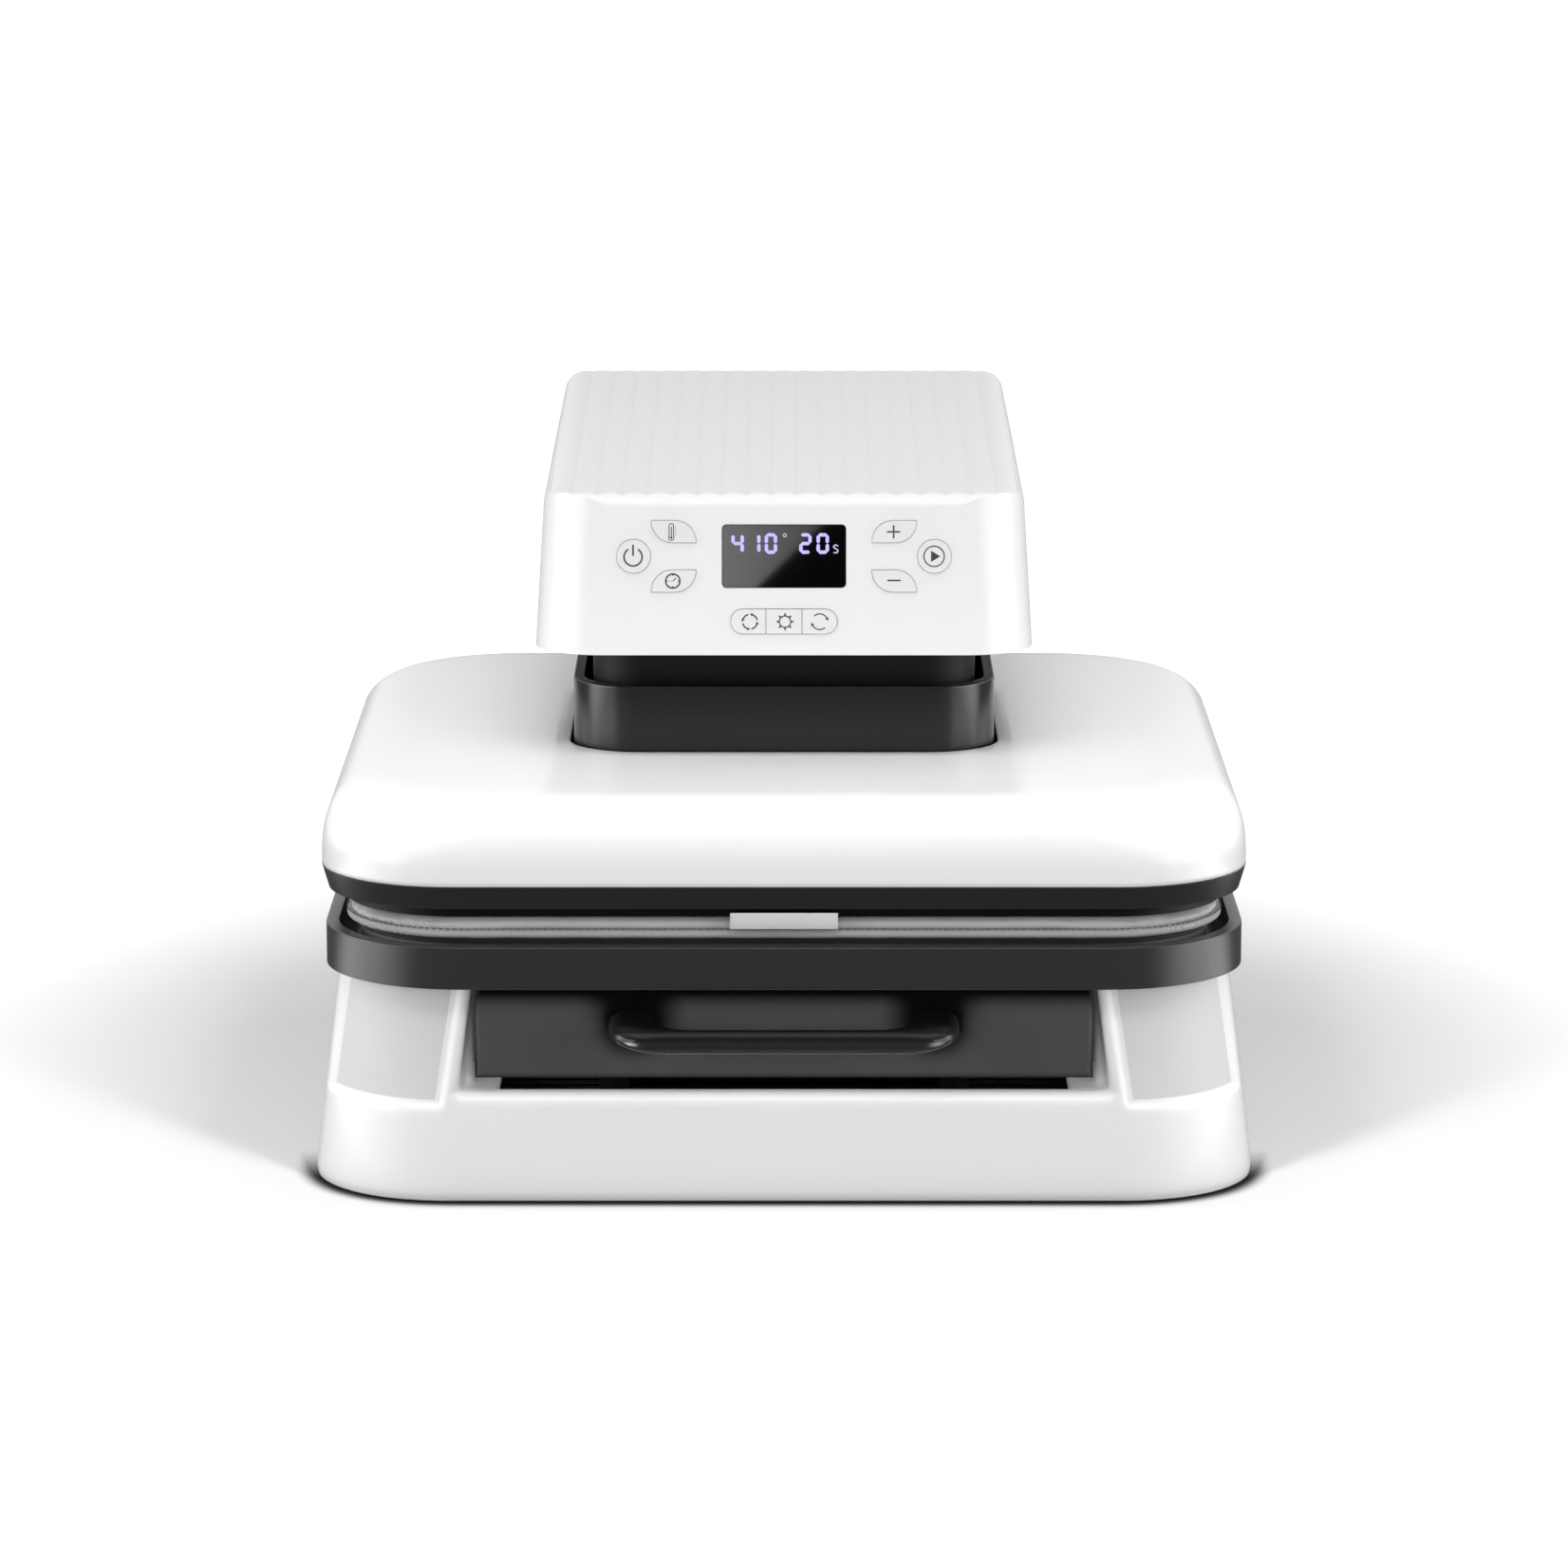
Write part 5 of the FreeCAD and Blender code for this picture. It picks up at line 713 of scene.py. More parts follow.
# %% Cage of the base
class Cage:
    """Control points kept once each, on the right half and mirrored on the left."""

    def __init__(self):
        self.points, self.faces, self.known = [], [], {}

    def point(self, x, y, z):
        key = (round(x, 3), round(y, 3), round(z, 3))
        if key not in self.known:
            self.known[key] = len(self.points)
            self.points.append((x, y, z))
        return self.known[key]

    def quad(self, *corners):
        right = [self.point(*corner) for corner in corners]
        left = [self.point(-x, y, z) for x, y, z in reversed(corners)]
        self.faces += [tuple(right), tuple(left)]

    def strip(self, low, high):
        for i in range(len(low) - 1):
            self.quad(low[i], low[i + 1], high[i + 1], high[i])


FRONT_X = (0.0, 45.0, 90.0, 126.0, 134.5, 144.5, MOUTH_HALF)
LOW_LEVELS = (BASE_LOW, 2.4, 5.0, 16.0, 30.0, 40.0, 44.2, 46.0, 48.1, 49.9, 51.1, LIP)
HIGH_LEVELS = (LIP, 55.0, 62.0, 74.0, 86.0, 96.0, 100.4, BASE_HIGH)
SLOT_HALF, SLOT_BACK = 134.5, 430.5


def sunk_depth(z):
    return SUNK * (0.0 if z < 44.5 else 0.9 if z < 47.5 else 1.0)


def outer_row(z):
    return [(x + ix * sunk * sunk_depth(z), y + iy * sunk * sunk_depth(z), z)
            for x, y, ix, iy, sunk in outer_columns(z)]


def front_row(z):
    front = base_outline(z)[1] + eased_back(z)
    return [(x, front, z) for x in FRONT_X]


def bay_row(z):
    return [outer_row(z)[0]] + [(x, y, z) for x, y in bay_columns(z)]


def floor_row(points, share):
    """The bay's floor between its wall, share 0, and the edge of the long slot, share 1."""
    row = []
    for x, y, z in points:
        inner = (min(x, SLOT_HALF), min(y, SLOT_BACK))
        row.append((x + (inner[0] - x) * share, y + (inner[1] - y) * share, z))
    return row


def build_base():
    cage = Cage()
    for low, high in zip(LOW_LEVELS, LOW_LEVELS[1:]):
        cage.strip(outer_row(low), outer_row(high))
        cage.strip(front_row(high), front_row(low))
    for low, high in zip(HIGH_LEVELS, HIGH_LEVELS[1:]):
        cage.strip(outer_row(low), outer_row(high))
        cage.strip(bay_row(high), bay_row(low))
    top_outer, top_inner = outer_row(BASE_HIGH), bay_row(BASE_HIGH)
    for i in range(len(top_outer) - 1):
        cage.quad(top_outer[i], top_outer[i + 1], top_inner[i + 1], top_inner[i])
    deep = base_outline(LIP)[1] + WALL_DEPTH
    lip_rows = [front_row(LIP)] + [[(x, y, LIP) for x in FRONT_X] for y in (deep, FRONT_WALL)]
    for low, high in zip(lip_rows, lip_rows[1:]):
        cage.strip(high, low)
    wall = bay_row(LIP)[2:]
    for share in (0.0, 0.5):
        cage.strip(floor_row(wall, share), floor_row(wall, share + 0.5))
    return cage


# %% Turn every face outwards
def turn_outwards(made, front_test):
    """Makes the faces agree, then turns them all if the chosen front faces look to the back."""
    work = bmesh.new()
    work.from_mesh(made.data)
    bmesh.ops.recalc_face_normals(work, faces=work.faces)
    front = [face for face in work.faces if front_test(face.calc_center_median())]
    if sum(face.normal.y for face in front) > 0:
        bmesh.ops.reverse_faces(work, faces=work.faces)
    work.to_mesh(made.data)
    work.free()


# %% Faces of the sunk panels
PANEL_FLOOR, PAST_RIDGE, PANEL_DEEP = 48.0, 3.6, 45.0


def on_panel(spot):
    """True for the middle of a face that lies in one of the two sunk corner panels."""
    x, y, z = abs(spot.x) / MM, spot.y / MM + MIDDLE, spot.z / MM
    return PANEL_FLOOR < z < BASE_HIGH - 0.1 and x > ridge_x(z) + PAST_RIDGE and y < PANEL_DEEP


# %% Base
BASE_WALL = 3.0


def dress_base():
    cage = build_base()
    shell = make_piece("base_housing", cage.points, cage.faces, FINISHES["white_shell"], "white_shell",
                       "frame", ("base_shell",))
    # The sunk panels take the matt finish, whose darker tone is painted shade.
    shell.data.materials.append(FINISHES["matte_white"])
    for face in shell.data.polygons:
        face.material_index = int(on_panel(face.center))
    front_wall = row_point((0, FRONT_WALL, 0)).y
    turn_outwards(shell, lambda spot: spot.y < front_wall and spot.z < 40.0 * MM)
    soften(shell, levels=2)
    wall = shell.modifiers.new("wall", "SOLIDIFY")
    wall.thickness, wall.offset = BASE_WALL * MM, -1.0
    return shell


base = dress_base()
print("base cage:", len(base.data.vertices), "points,", len(base.data.polygons), "faces")

# %% [markdown]
# ## Handle
# The drawer is pulled by a bow: a bar that grows out of two round roots, droops a little and has a fine parting
# line where its two mould halves met. It is swept through stations, each a rounded section between an outer and
# an inner curve, because a straight sweep could not widen smoothly from the bar into the roots.

# %% Curves of the bow
BOW_HALF, BOW_REACH, BOW_ROOT, BOW_CORNER = 82.25, 34.0, 20.5, 20.0
BOW_BAR, BOW_HIGH, BOW_TOP, BOW_DROOP = 10.6, 11.5, 93.2, math.radians(9.0)
BOW_FRONT = 6.0
BEND_STEPS, BEND_FROM = 14, 0.22
PARTING = 337
SECTION = (*range(0, 316, 15), 328, 334, PARTING, 340, 343, 350)


def bow_stations():
    """(outer point, inner point) pairs from the right root to the middle, each (across, forwards)."""
    inner_radius = BOW_REACH - BOW_BAR
    inner_x = BOW_HALF - BOW_ROOT - inner_radius
    outer_x, outer_y = BOW_HALF - BOW_CORNER, BOW_REACH - BOW_CORNER
    pairs = []
    for share in (step / BEND_STEPS for step in range(BEND_STEPS + 1)):
        inner = math.radians(90.0 * share)
        turn = math.radians(90.0 * max(share - BEND_FROM, 0.0) / (1.0 - BEND_FROM))
        straight = outer_y * min(share / BEND_FROM, 1.0)
        pairs.append(((outer_x + BOW_CORNER * math.cos(turn), straight + BOW_CORNER * math.sin(turn)),
                      (inner_x + inner_radius * math.cos(inner), inner_radius * math.sin(inner))))
    for share in (0.75, 0.5, 0.25, 0.0):
        pairs.append(((outer_x * share, BOW_REACH), (inner_x * share, BOW_REACH - BOW_BAR)))
    return pairs


def bow_section(outer, inner, fullness):
    """Points round one section; the parting line is a small step below the middle."""
    centre = [(outer[i] + inner[i]) / 2 for i in (0, 1)]
    wide = math.dist(outer, inner) / 2
    along = [(outer[i] - centre[i]) / wide for i in (0, 1)]
    ring = []
    for degrees in SECTION:
        c, d = (math.copysign(abs(value) ** (2 / fullness), value)
                for value in (math.cos(math.radians(degrees)), math.sin(math.radians(degrees))))
        step = 0.55 if degrees == PARTING else 0.35 if 190 < degrees < PARTING else 0.0
        side, up = c * (wide - step), d * (BOW_HIGH / 2 - step)
        across, forward = centre[0] + along[0] * side, centre[1] + along[1] * side
        y = -forward * math.cos(BOW_DROOP) - up * math.sin(BOW_DROOP)
        z = -forward * math.sin(BOW_DROOP) + up * math.cos(BOW_DROOP)
        ring.append((across, min(y, 0.0) + BOW_FRONT, z + BOW_TOP - BOW_HIGH / 2))
    return ring


# %% Bow
def build_bow():
    half = [bow_section(outer, inner, 2.05 + 0.35 * min(number / 12, 1.0))
            for number, (outer, inner) in enumerate(bow_stations())]
    rings = half + [[(-x, y, z) for x, y, z in ring] for ring in reversed(half[:-1])]
    bow = make_piece("drawer_bow", *tube(rings, caps=True), FINISHES["handle_black"], "handle_black", "drawer",
                     ("drawer_handle",))
    soften(bow)
    return bow


bow = build_bow()
print("bow:", len(bow.data.polygons), "faces")

# %% [markdown]
# ## Padded mat
# The mat on the drawer is a foam pad in a cover of grey heat-proof twill. Its lower edge is a rolled hem that
# puckers, and a line of stitches runs above the hem. A box with rounded edges would look like a tray of
# plaster, so the pad is blown up a little as cloth and its height is then held, as the hot plate holds it.

# %% Mat sizes
MAT_HALF_X, MAT_HALF_Y, MAT_ROUND, MAT_STEPS = 210.5, 215.0, 60.0, 24
MAT_LOW, MAT_HIGH = 124.8, 134.2
SEAM_INSET, SEAM_HIGH = 1.75, 129.5
PAD_PROFILE = ((14.0, 125.5), (8.0, 125.7), (5.0, 127.4), (3.0, 129.0), (0.9, 130.1), (0.1, 131.4),
               (0.4, 132.7), (2.2, 133.6), (8.0, 133.9), (16.0, 133.9))


def mat_ring(inset, z):
    """The outline of the mat, drawn in by an inset."""
    return rounded_ring(MAT_HALF_X - inset, MAT_HALF_Y - inset, MAT_ROUND - inset * 0.8, z, COVER_PRESS_Y,
                        MAT_STEPS, MAT_STEPS)


# %% Cloth simulation of the pad
VOXEL = 4.0 * MM
PUFF_FRAMES, PUFF_REACH = 20, 3.0 * MM
PUFF = {"use_pressure": True, "uniform_pressure_force": 4.0, "quality": 5, "tension_stiffness": 12.0,
        "compression_stiffness": 8.0, "bending_stiffness": 0.4}


def apply_modifiers(made):
    graph = bpy.context.evaluated_depsgraph_get()
    mesh = bpy.data.meshes.new_from_object(made.evaluated_get(graph))
    made.modifiers.clear()
    made.data = mesh


def puff(made):
    cloth = made.modifiers.new("puff", "CLOTH")
    for option, value in PUFF.items():
        setattr(cloth.settings, option, value)
    cloth.settings.effector_weights.gravity = 0.0
    cloth.point_cache.frame_end = PUFF_FRAMES
    for moment in range(1, PUFF_FRAMES + 1):
        bpy.context.scene.frame_set(moment)
    apply_modifiers(made)
    bpy.context.scene.frame_set(1)


def hold(made, before, reach):
    """Keeps each point near where it was, and the whole pad between its two plates."""
    for vertex, start in zip(made.data.vertices, before):
        move = vertex.co - start
        if move.length > reach:
            move = move.normalized() * reach
        place = start + move
        place.z = min(max(place.z, (MAT_LOW + 0.1) * MM), MAT_HIGH * MM)
        vertex.co = place


def build_pad():
    pad = make_piece("heat_mat_pad", *tube([mat_ring(inset, z) for inset, z in PAD_PROFILE], caps=True),
                     MAT_CLOTH, "mat_fabric", "drawer", ("heat_mat",))
    remesh = pad.modifiers.new("even_mesh", "REMESH")
    remesh.mode, remesh.voxel_size = "VOXEL", VOXEL
    apply_modifiers(pad)
    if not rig.quick():
        before = [vertex.co.copy() for vertex in pad.data.vertices]
        puff(pad)
        hold(pad, before, PUFF_REACH)
    pad.data.polygons.foreach_set("use_smooth", [True] * len(pad.data.polygons))
    soften(pad)
    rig.padded(pad, fill=0.5)
    return pad


pad = build_pad()
print("pad:", len(pad.data.vertices), "points, highest", max(v.co.z for v in pad.data.vertices))

# %% [markdown]
# ## Hem and stitches
# The hem is a roll of the same cloth that runs round the mat below the seam, in a darker tone that is painted
# shade for its underside. It is swept round the outline, and its radius wavers, because the cloth gathers where
# it turns. The stitches are short rods of thread that dip into the cloth at both ends, set at an even pitch along
# the seam.

# %% Walk along the outline
def walk(ring, step):
    """Evenly spaced (point, direction) pairs along a closed ring."""
    points = [Vector(point) for point in ring]
    spans = [(b - a).length for a, b in zip(points, points[1:] + points[:1])]
    total = sum(spans)
    count = round(total / step)
    found, index, passed = [], 0, 0.0
    for number in range(count):
        goal = total * number / count
        while passed + spans[index] < goal:
            passed += spans[index]
            index += 1
        a, b = points[index], points[(index + 1) % len(points)]
        found.append((a.lerp(b, (goal - passed) / spans[index]), (b - a).normalized()))
    return found


# %% Hem
HEM_INSET, HEM_HIGH, HEM_PITCH = 3.9, 127.05, 1.6
HEM_AROUND, HEM_RADIUS, HEM_PUCKER = 12, 2.15, 0.45


def build_hem():
    rng = random.Random(7)
    spots = walk(mat_ring(HEM_INSET, HEM_HIGH), HEM_PITCH)
    puckers = [(rng.uniform(0.05, 0.16), rng.randint(40, 260), rng.uniform(0, 6.28)) for _ in range(9)]
    rings = []
    for number, (spot, heading) in enumerate(spots):
        turn = 2 * math.pi * number / len(spots)
        swell = sum(size * math.sin(turn * rate + shift) for size, rate, shift in puckers)
        outward = Vector((heading.y, -heading.x, 0.0))
        ring = []
        for angle in (2 * math.pi * step / HEM_AROUND for step in range(HEM_AROUND)):
            radius = HEM_RADIUS + HEM_PUCKER * swell * (0.4 + 0.6 * max(math.sin(angle * 0.5), 0.0))
            place = spot + outward * math.cos(angle) * radius
            place.z = max(place.z + math.sin(angle) * radius * 1.02, MAT_LOW + 0.05)
            ring.append(tuple(place))
        rings.append(ring)
    hem = make_piece("heat_mat_hem", *tube(rings, loop=True), HEM_CLOTH_PAINTED_SHADE, "mat_fabric", "drawer")
    soften(hem)
    return hem


hem = build_hem()
print("hem:", len(hem.data.vertices), "points")


# %% Stitches
STITCH_PITCH, STITCH_LENGTH, THREAD_RADIUS, STITCH_DIP = 3.3, 2.4, 0.3, 0.4


def thread_rod(spot, heading):
    """A short rod that sinks at both ends, six sided."""
    outward = Vector((heading.y, -heading.x, 0.0))
    rows = []
    for share in (-0.5, -0.3, 0.0, 0.3, 0.5):
        sink = STITCH_DIP * (2 * share) ** 2
        thick = THREAD_RADIUS * (1.0 - 0.6 * abs(2 * share) ** 3)
        centre = spot + heading * share * STITCH_LENGTH - outward * sink
        up = Vector((0.0, 0.0, thick))
        rows.append([tuple(centre + outward * math.cos(angle) * thick + up * math.sin(angle))
                     for angle in (math.pi / 3 * step for step in range(6))])
    return tube(rows, caps=True)


def build_stitches():
    points, faces = [], []
    for spot, heading in walk(mat_ring(SEAM_INSET, SEAM_HIGH), STITCH_PITCH):
        more, between = thread_rod(spot, heading)
        faces += [tuple(len(points) + index for index in face) for face in between]
        points += more
    return make_piece("heat_mat_stitches", points, faces, THREAD, "mat_fabric", "drawer")


stitches = build_stitches()
print("stitches:", len(stitches.data.polygons), "faces")

# %% [markdown]
# ## Blank tab
# A folded strip of white tape is sewn into the seam at the middle of the front edge. It is bent round its upper
# fold, stands a little proud of the cloth and is blank.

# %% Tab
TAB_HALF, TAB_FRONT, TAB_LOW, TAB_HIGH, TAB_THICK, TAB_BEHIND = 25.3, 8.7, 130.25, 138.0, 1.1, 7.45
TAB_COLUMNS = 24


def tab_outline():
    """(y, z) up the front of the tape, over its fold and down behind."""
    fold = TAB_THICK / 2
    behind, bend = TAB_FRONT - TAB_THICK, TAB_HIGH - fold
    over = [(TAB_FRONT - fold + fold * math.cos(a), bend + fold * math.sin(a))
            for a in (math.radians(30 * step) for step in range(1, 6))]
    return [(TAB_FRONT, TAB_LOW), (TAB_FRONT, bend), *over, (behind, bend), (behind, TAB_LOW + 0.2),
            (behind + 0.15, TAB_LOW), (TAB_FRONT - fold, TAB_LOW + 0.12)]


def build_tab():
    rows = []
    for share in (column / TAB_COLUMNS for column in range(TAB_COLUMNS + 1)):
        x = -TAB_HALF + 2 * TAB_HALF * share
        wave = 0.10 * math.sin(share * 9.0) + 0.06 * math.sin(share * 23.0 + 1.0)
        row = []
        for y, z in tab_outline():
            lifted = (z - TAB_LOW) / (TAB_HIGH - TAB_LOW)
            row.append((x, max(y + wave * lifted, TAB_BEHIND), z - 0.12 * abs(share - 0.5) * lifted))
        rows.append(row)
    return make_piece("mat_tab_tape", *tube(rows, caps=True), TAPE, "tab_fabric", "drawer", ("mat_tab",))


tab = build_tab()
print("tab:", len(tab.data.polygons), "faces")

# %% [markdown]
# ## Symbols on the keys
# Each key carries a small symbol in dark grey ink. Ink could be a texture on the key, but then it would need an
# image or a mask, and its edge would blur when seen close. Here each symbol is a thin raised print with crisp
# edges, as pad printing leaves, and it rides on its own key so that it goes in when the key is pressed.

# %% Front panel as a plane
PANEL_CENTRE = (0.0, 121.935, 289.0)
PANEL_UP = (0.0, 0.10334, 0.99465)
PANEL_OUT = (0.0, -0.99465, 0.10334)
KEY_PROUD, GLASS_PROUD = 1.2, 0.25
INK_ABOVE, INK_BELOW = 0.03, 0.05
INK = hard_finish("pad_print_ink", (66, 66, 68), 0.5, grain=1200.0, depth=0.000004, vary=0.08, dust=0.0)


def panel_point(u, v, proud):
    return tuple(PANEL_CENTRE[i] + (u, 0.0, 0.0)[i] + v * PANEL_UP[i] + proud * PANEL_OUT[i] for i in range(3))


def round_spots(radius, angles, middle=(0.0, 0.0)):
    return [(middle[0] + radius * math.cos(a), middle[1] + radius * math.sin(a)) for a in angles]


# %% Prints on the panel
class Print:
    """Flat shapes on the panel, each closed and a few hundredths of a millimetre thick."""

    def __init__(self, name, body, place=(0.0, 0.0), proud=KEY_PROUD):
        self.name, self.body, self.place = name, body, place
        self.levels = (proud + INK_ABOVE, proud - INK_BELOW)
        self.points, self.faces = [], []

    def row(self, outline, proud):
        """Adds points at one height over the panel and gives their numbers."""
        start = len(self.points)
        self.points += [panel_point(self.place[0] + u, self.place[1] + v, proud) for u, v in outline]
        return list(range(start, len(self.points)))

    def shape(self, outline):
        """A convex outline, counter-clockwise as seen from the front."""
        front, back = [self.row(outline, proud) for proud in self.levels]
        self.faces += [tuple(front), tuple(reversed(back))] + bridge(back, front)

    def bar(self, left, low, right, high):
        self.shape([(left, low), (right, low), (right, high), (left, high)])

    def spoke(self, degrees, near, near_half, far, far_half):
        """A bar that points away from the middle, with a half width at each end."""
        c, d = math.cos(math.radians(degrees)), math.sin(math.radians(degrees))
        ends = ((near, near_half), (far, far_half), (far, -far_half), (near, -near_half))
        self.shape([(away * c + side * d, away * d - side * c) for away, side in ends])

    def line(self, points, width):
        """Joined quads along the points, one short convex piece for each span."""
        for (u0, v0), (u1, v1) in zip(points, points[1:]):
            length = math.hypot(u1 - u0, v1 - v0)
            du, dv = (u1 - u0) / length, (v1 - v0) / length
            side, lap = width / 2, min(0.06, width / 4)
            self.shape([(u0 - du * lap + dv * side, v0 - dv * lap - du * side),
                        (u1 + du * lap + dv * side, v1 + dv * lap - du * side),
                        (u1 + du * lap - dv * side, v1 + dv * lap + du * side),
                        (u0 - du * lap - dv * side, v0 - dv * lap + du * side)])

    def ring(self, radius, width, middle=(0.0, 0.0), start=0.0, end=360.0, steps=36):
        """A band between two radii. A part of a circle gets square ends."""
        whole = end - start >= 360.0
        angles = [math.radians(start + (end - start) * i / steps) for i in range(steps if whole else steps + 1)]
        outer, inner, low_outer, low_inner = [
            self.row(round_spots(away, angles, middle), proud)
            for proud in self.levels for away in (radius + width / 2, radius - width / 2)]
        for first, second in ((outer, inner), (inner, low_inner), (low_inner, low_outer), (low_outer, outer)):
            self.faces += bridge(first, second, closed=whole)
        if not whole:
            self.faces.append((outer[0], low_outer[0], low_inner[0], inner[0]))
            self.faces.append((outer[-1], inner[-1], low_inner[-1], low_outer[-1]))

    def arrow_head(self, radius, degrees, size, forward=1):
        """A small triangle that points along a circle."""
        c, d = math.cos(math.radians(degrees)), math.sin(math.radians(degrees))
        far, near = radius + size * 0.6, radius - size * 0.6
        tip = (radius * c - d * forward * size, radius * d + c * forward * size)
        sides = ((far * c, far * d), (near * c, near * d))[::forward]
        self.shape([sides[0], tip, sides[1]])

    def finish(self, finish=INK, slot="black_plastic"):
        return make_piece(self.name, self.points, self.faces, finish, slot, self.body, smooth=False)


# %% Symbols of the round keys
drawn = Print("power_symbol", "power_button", (-72.6, -0.3))
drawn.ring(4.35, 0.8, start=122.0, end=418.0)
drawn.bar(-0.42, 0.5, 0.42, 5.9)
drawn.finish()

drawn = Print("start_symbol", "start_button", (72.2, 0.0))
drawn.ring(4.9, 0.6)
drawn.shape([(-1.5, -2.7), (3.0, 0.0), (-1.5, 2.7)])
drawn.finish()

# %% Symbols of the leaf keys
drawn = Print("temperature_symbol", "temperature_key", (-54.2, 11.7))
drawn.line([(-1.05, -2.3), (-1.05, 3.0)], 0.42)
drawn.line([(1.05, -2.3), (1.05, 3.0)], 0.42)
drawn.ring(1.05, 0.42, middle=(0.0, 3.0), start=0.0, end=180.0, steps=12)
drawn.ring(1.25, 0.42, middle=(0.0, -2.75), start=128.0, end=412.0, steps=20)
drawn.line([(0.0, 2.6), (0.0, -2.7)], 0.45)
drawn.shape(round_spots(0.55, [math.pi / 6 * step for step in range(12)], (0.0, -2.75)))
drawn.line([(2.0, 3.2), (2.0, -2.0)], 0.14)
drawn.finish()

drawn = Print("time_symbol", "time_key", (-53.5, -11.9))
drawn.ring(3.4, 0.75)
for degrees in range(0, 360, 90):
    drawn.spoke(degrees, 2.45, 0.15, 3.1, 0.5)
drawn.line([(0.0, 0.0), (1.45, 1.45)], 0.45)
drawn.line([(0.0, 0.0), (-1.7, 0.0)], 0.2)
drawn.finish()

drawn = Print("plus_symbol", "plus_key", (52.7, 11.8))
drawn.bar(-3.2, -0.38, 3.2, 0.38)
drawn.bar(-0.38, 0.38, 0.38, 3.2)
drawn.bar(-0.38, -3.2, 0.38, -0.38)
drawn.finish()

drawn = Print("minus_symbol", "minus_key", (52.9, -11.6))
drawn.bar(-3.2, -0.38, 3.2, 0.38)
drawn.finish()

# %% Symbols of the three joined keys
drawn = Print("repeat_symbol", "repeat_key", (-16.4, -31.5))
for start in (12.0, 102.0, 192.0, 282.0):
    drawn.ring(3.55, 0.7, start=start, end=start + 58.0, steps=10)
    drawn.arrow_head(3.55, start + 58.0, 1.35)
drawn.finish()

drawn = Print("heat_symbol", "heat_key", (0.5, -31.5))
drawn.ring(2.75, 0.6)
for degrees in range(0, 360, 45):
    drawn.spoke(degrees, 3.0, 0.42, 4.1, 0.36)
drawn.finish()

drawn = Print("auto_symbol", "auto_key", (17.2, -31.5))
for start in (28.0, 208.0):
    drawn.ring(3.8, 0.6, start=start, end=start + 105.0, steps=16)
    drawn.arrow_head(3.8, start, 1.5, forward=-1)
drawn.finish()
print("symbols:", len([o for o in bpy.data.objects if o.name.endswith("_symbol")]))

# %% [markdown]
# ## Display
# Behind the black glass lie lilac light-emitting segments. They are modelled as pointed bars with gaps between
# them, lie on the glass and give a little light, and their colour wavers slightly, as real segments do.

# %% Lit segments
def lit_finish(name, screen, strength):
    material, tree, shader = start_material(name)
    surface = place_group(tree, "Surface grain", {"Scale": 1400.0, "Smudge scale": 300.0})
    tone = spread(tree, surface["Smudge"], 0.3, 0.7, 0.88, 1.06, smooth=False)
    shade = scaled(tree, linear(*screen), tone)
    feed(tree, shader, {"Emission Color": shade, "Base Color": shade, "Emission Strength": strength,
                        "Roughness": 0.4})
    return material


LILAC = lit_finish("lilac_segment", (172, 160, 238), 0.75)
PALE_LILAC = lit_finish("pale_segment", (196, 190, 226), 0.6)

# %% Digits
DIGIT_WIDE, DIGIT_HIGH, BAR = 6.0, 9.95, 1.62
DIGIT_TOP, SEGMENT_GAP = 11.1, 0.14
SEGMENTS = {"4": "bcfg", "1": "bc", "0": "abcdef", "2": "abdeg"}
SEGMENT_SPOTS = {"a": (0, 2), "g": (0, 0), "d": (0, -2), "b": (1, 1), "c": (1, -1), "f": (-1, 1), "e": (-1, -1)}


def segment_bar(drawn, middle, half, along_u):
    """A bar with pointed ends, slightly shorter than its cell so that a gap is left."""
    side, end = BAR / 2, half - SEGMENT_GAP
    shoulder = end - side * 0.85
    outline = [(-end, 0.0), (-shoulder, -side), (shoulder, -side), (end, 0.0), (shoulder, side),
               (-shoulder, side)]
    if not along_u:
        outline = [(-v, u) for u, v in outline]
    drawn.shape([(middle[0] + u, middle[1] + v) for u, v in outline])


def digit(drawn, which, left):
    half_u, half_v = (DIGIT_WIDE - BAR) / 2, (DIGIT_HIGH - BAR) / 4
    centre = (left + DIGIT_WIDE / 2, DIGIT_TOP - DIGIT_HIGH / 2)
    for across, up in (SEGMENT_SPOTS[letter] for letter in SEGMENTS[which]):
        segment_bar(drawn, (centre[0] + across * half_u, centre[1] + up * half_v),
                    (half_v if across else half_u) + 0.1, not across)


drawn = Print("display_digits", "frame", proud=GLASS_PROUD)
for which, left in (("4", -25.3), ("1", -17.3), ("0", -9.3), ("2", 7.3), ("0", 15.65)):
    digit(drawn, which, left)
drawn.finish(LILAC, "display_glass")
drawn = Print("display_units", "frame", proud=GLASS_PROUD)
drawn.ring(0.72, 0.32, middle=(0.35, 10.1), steps=20)
drawn.line([(26.0, 4.9), (24.9, 5.5), (23.95, 5.0), (23.9, 4.25), (24.9, 3.6), (25.9, 3.0), (25.95, 2.2),
            (25.1, 1.55), (23.9, 1.8)], 0.5)
drawn.finish(PALE_LILAC, "display_glass")
print("display digits: 4 1 0 and 2 0")

# %% [markdown]
# ## Floor
# The press stands on a plain floor that runs out to white. A white floor under studio lamps is easily so bright
# that the shadows drown, so this one is grey where it scatters light and gains a glow with distance that only
# the eye sees. Near the base the lamps alone light it, so the shadows keep their depth, and under the front edge
# a painted contact shadow, dark where the base stands close, marks where base and floor meet. In reflections
# the floor is bright to the left and right of the press, like white boards laid there, and dark in front.

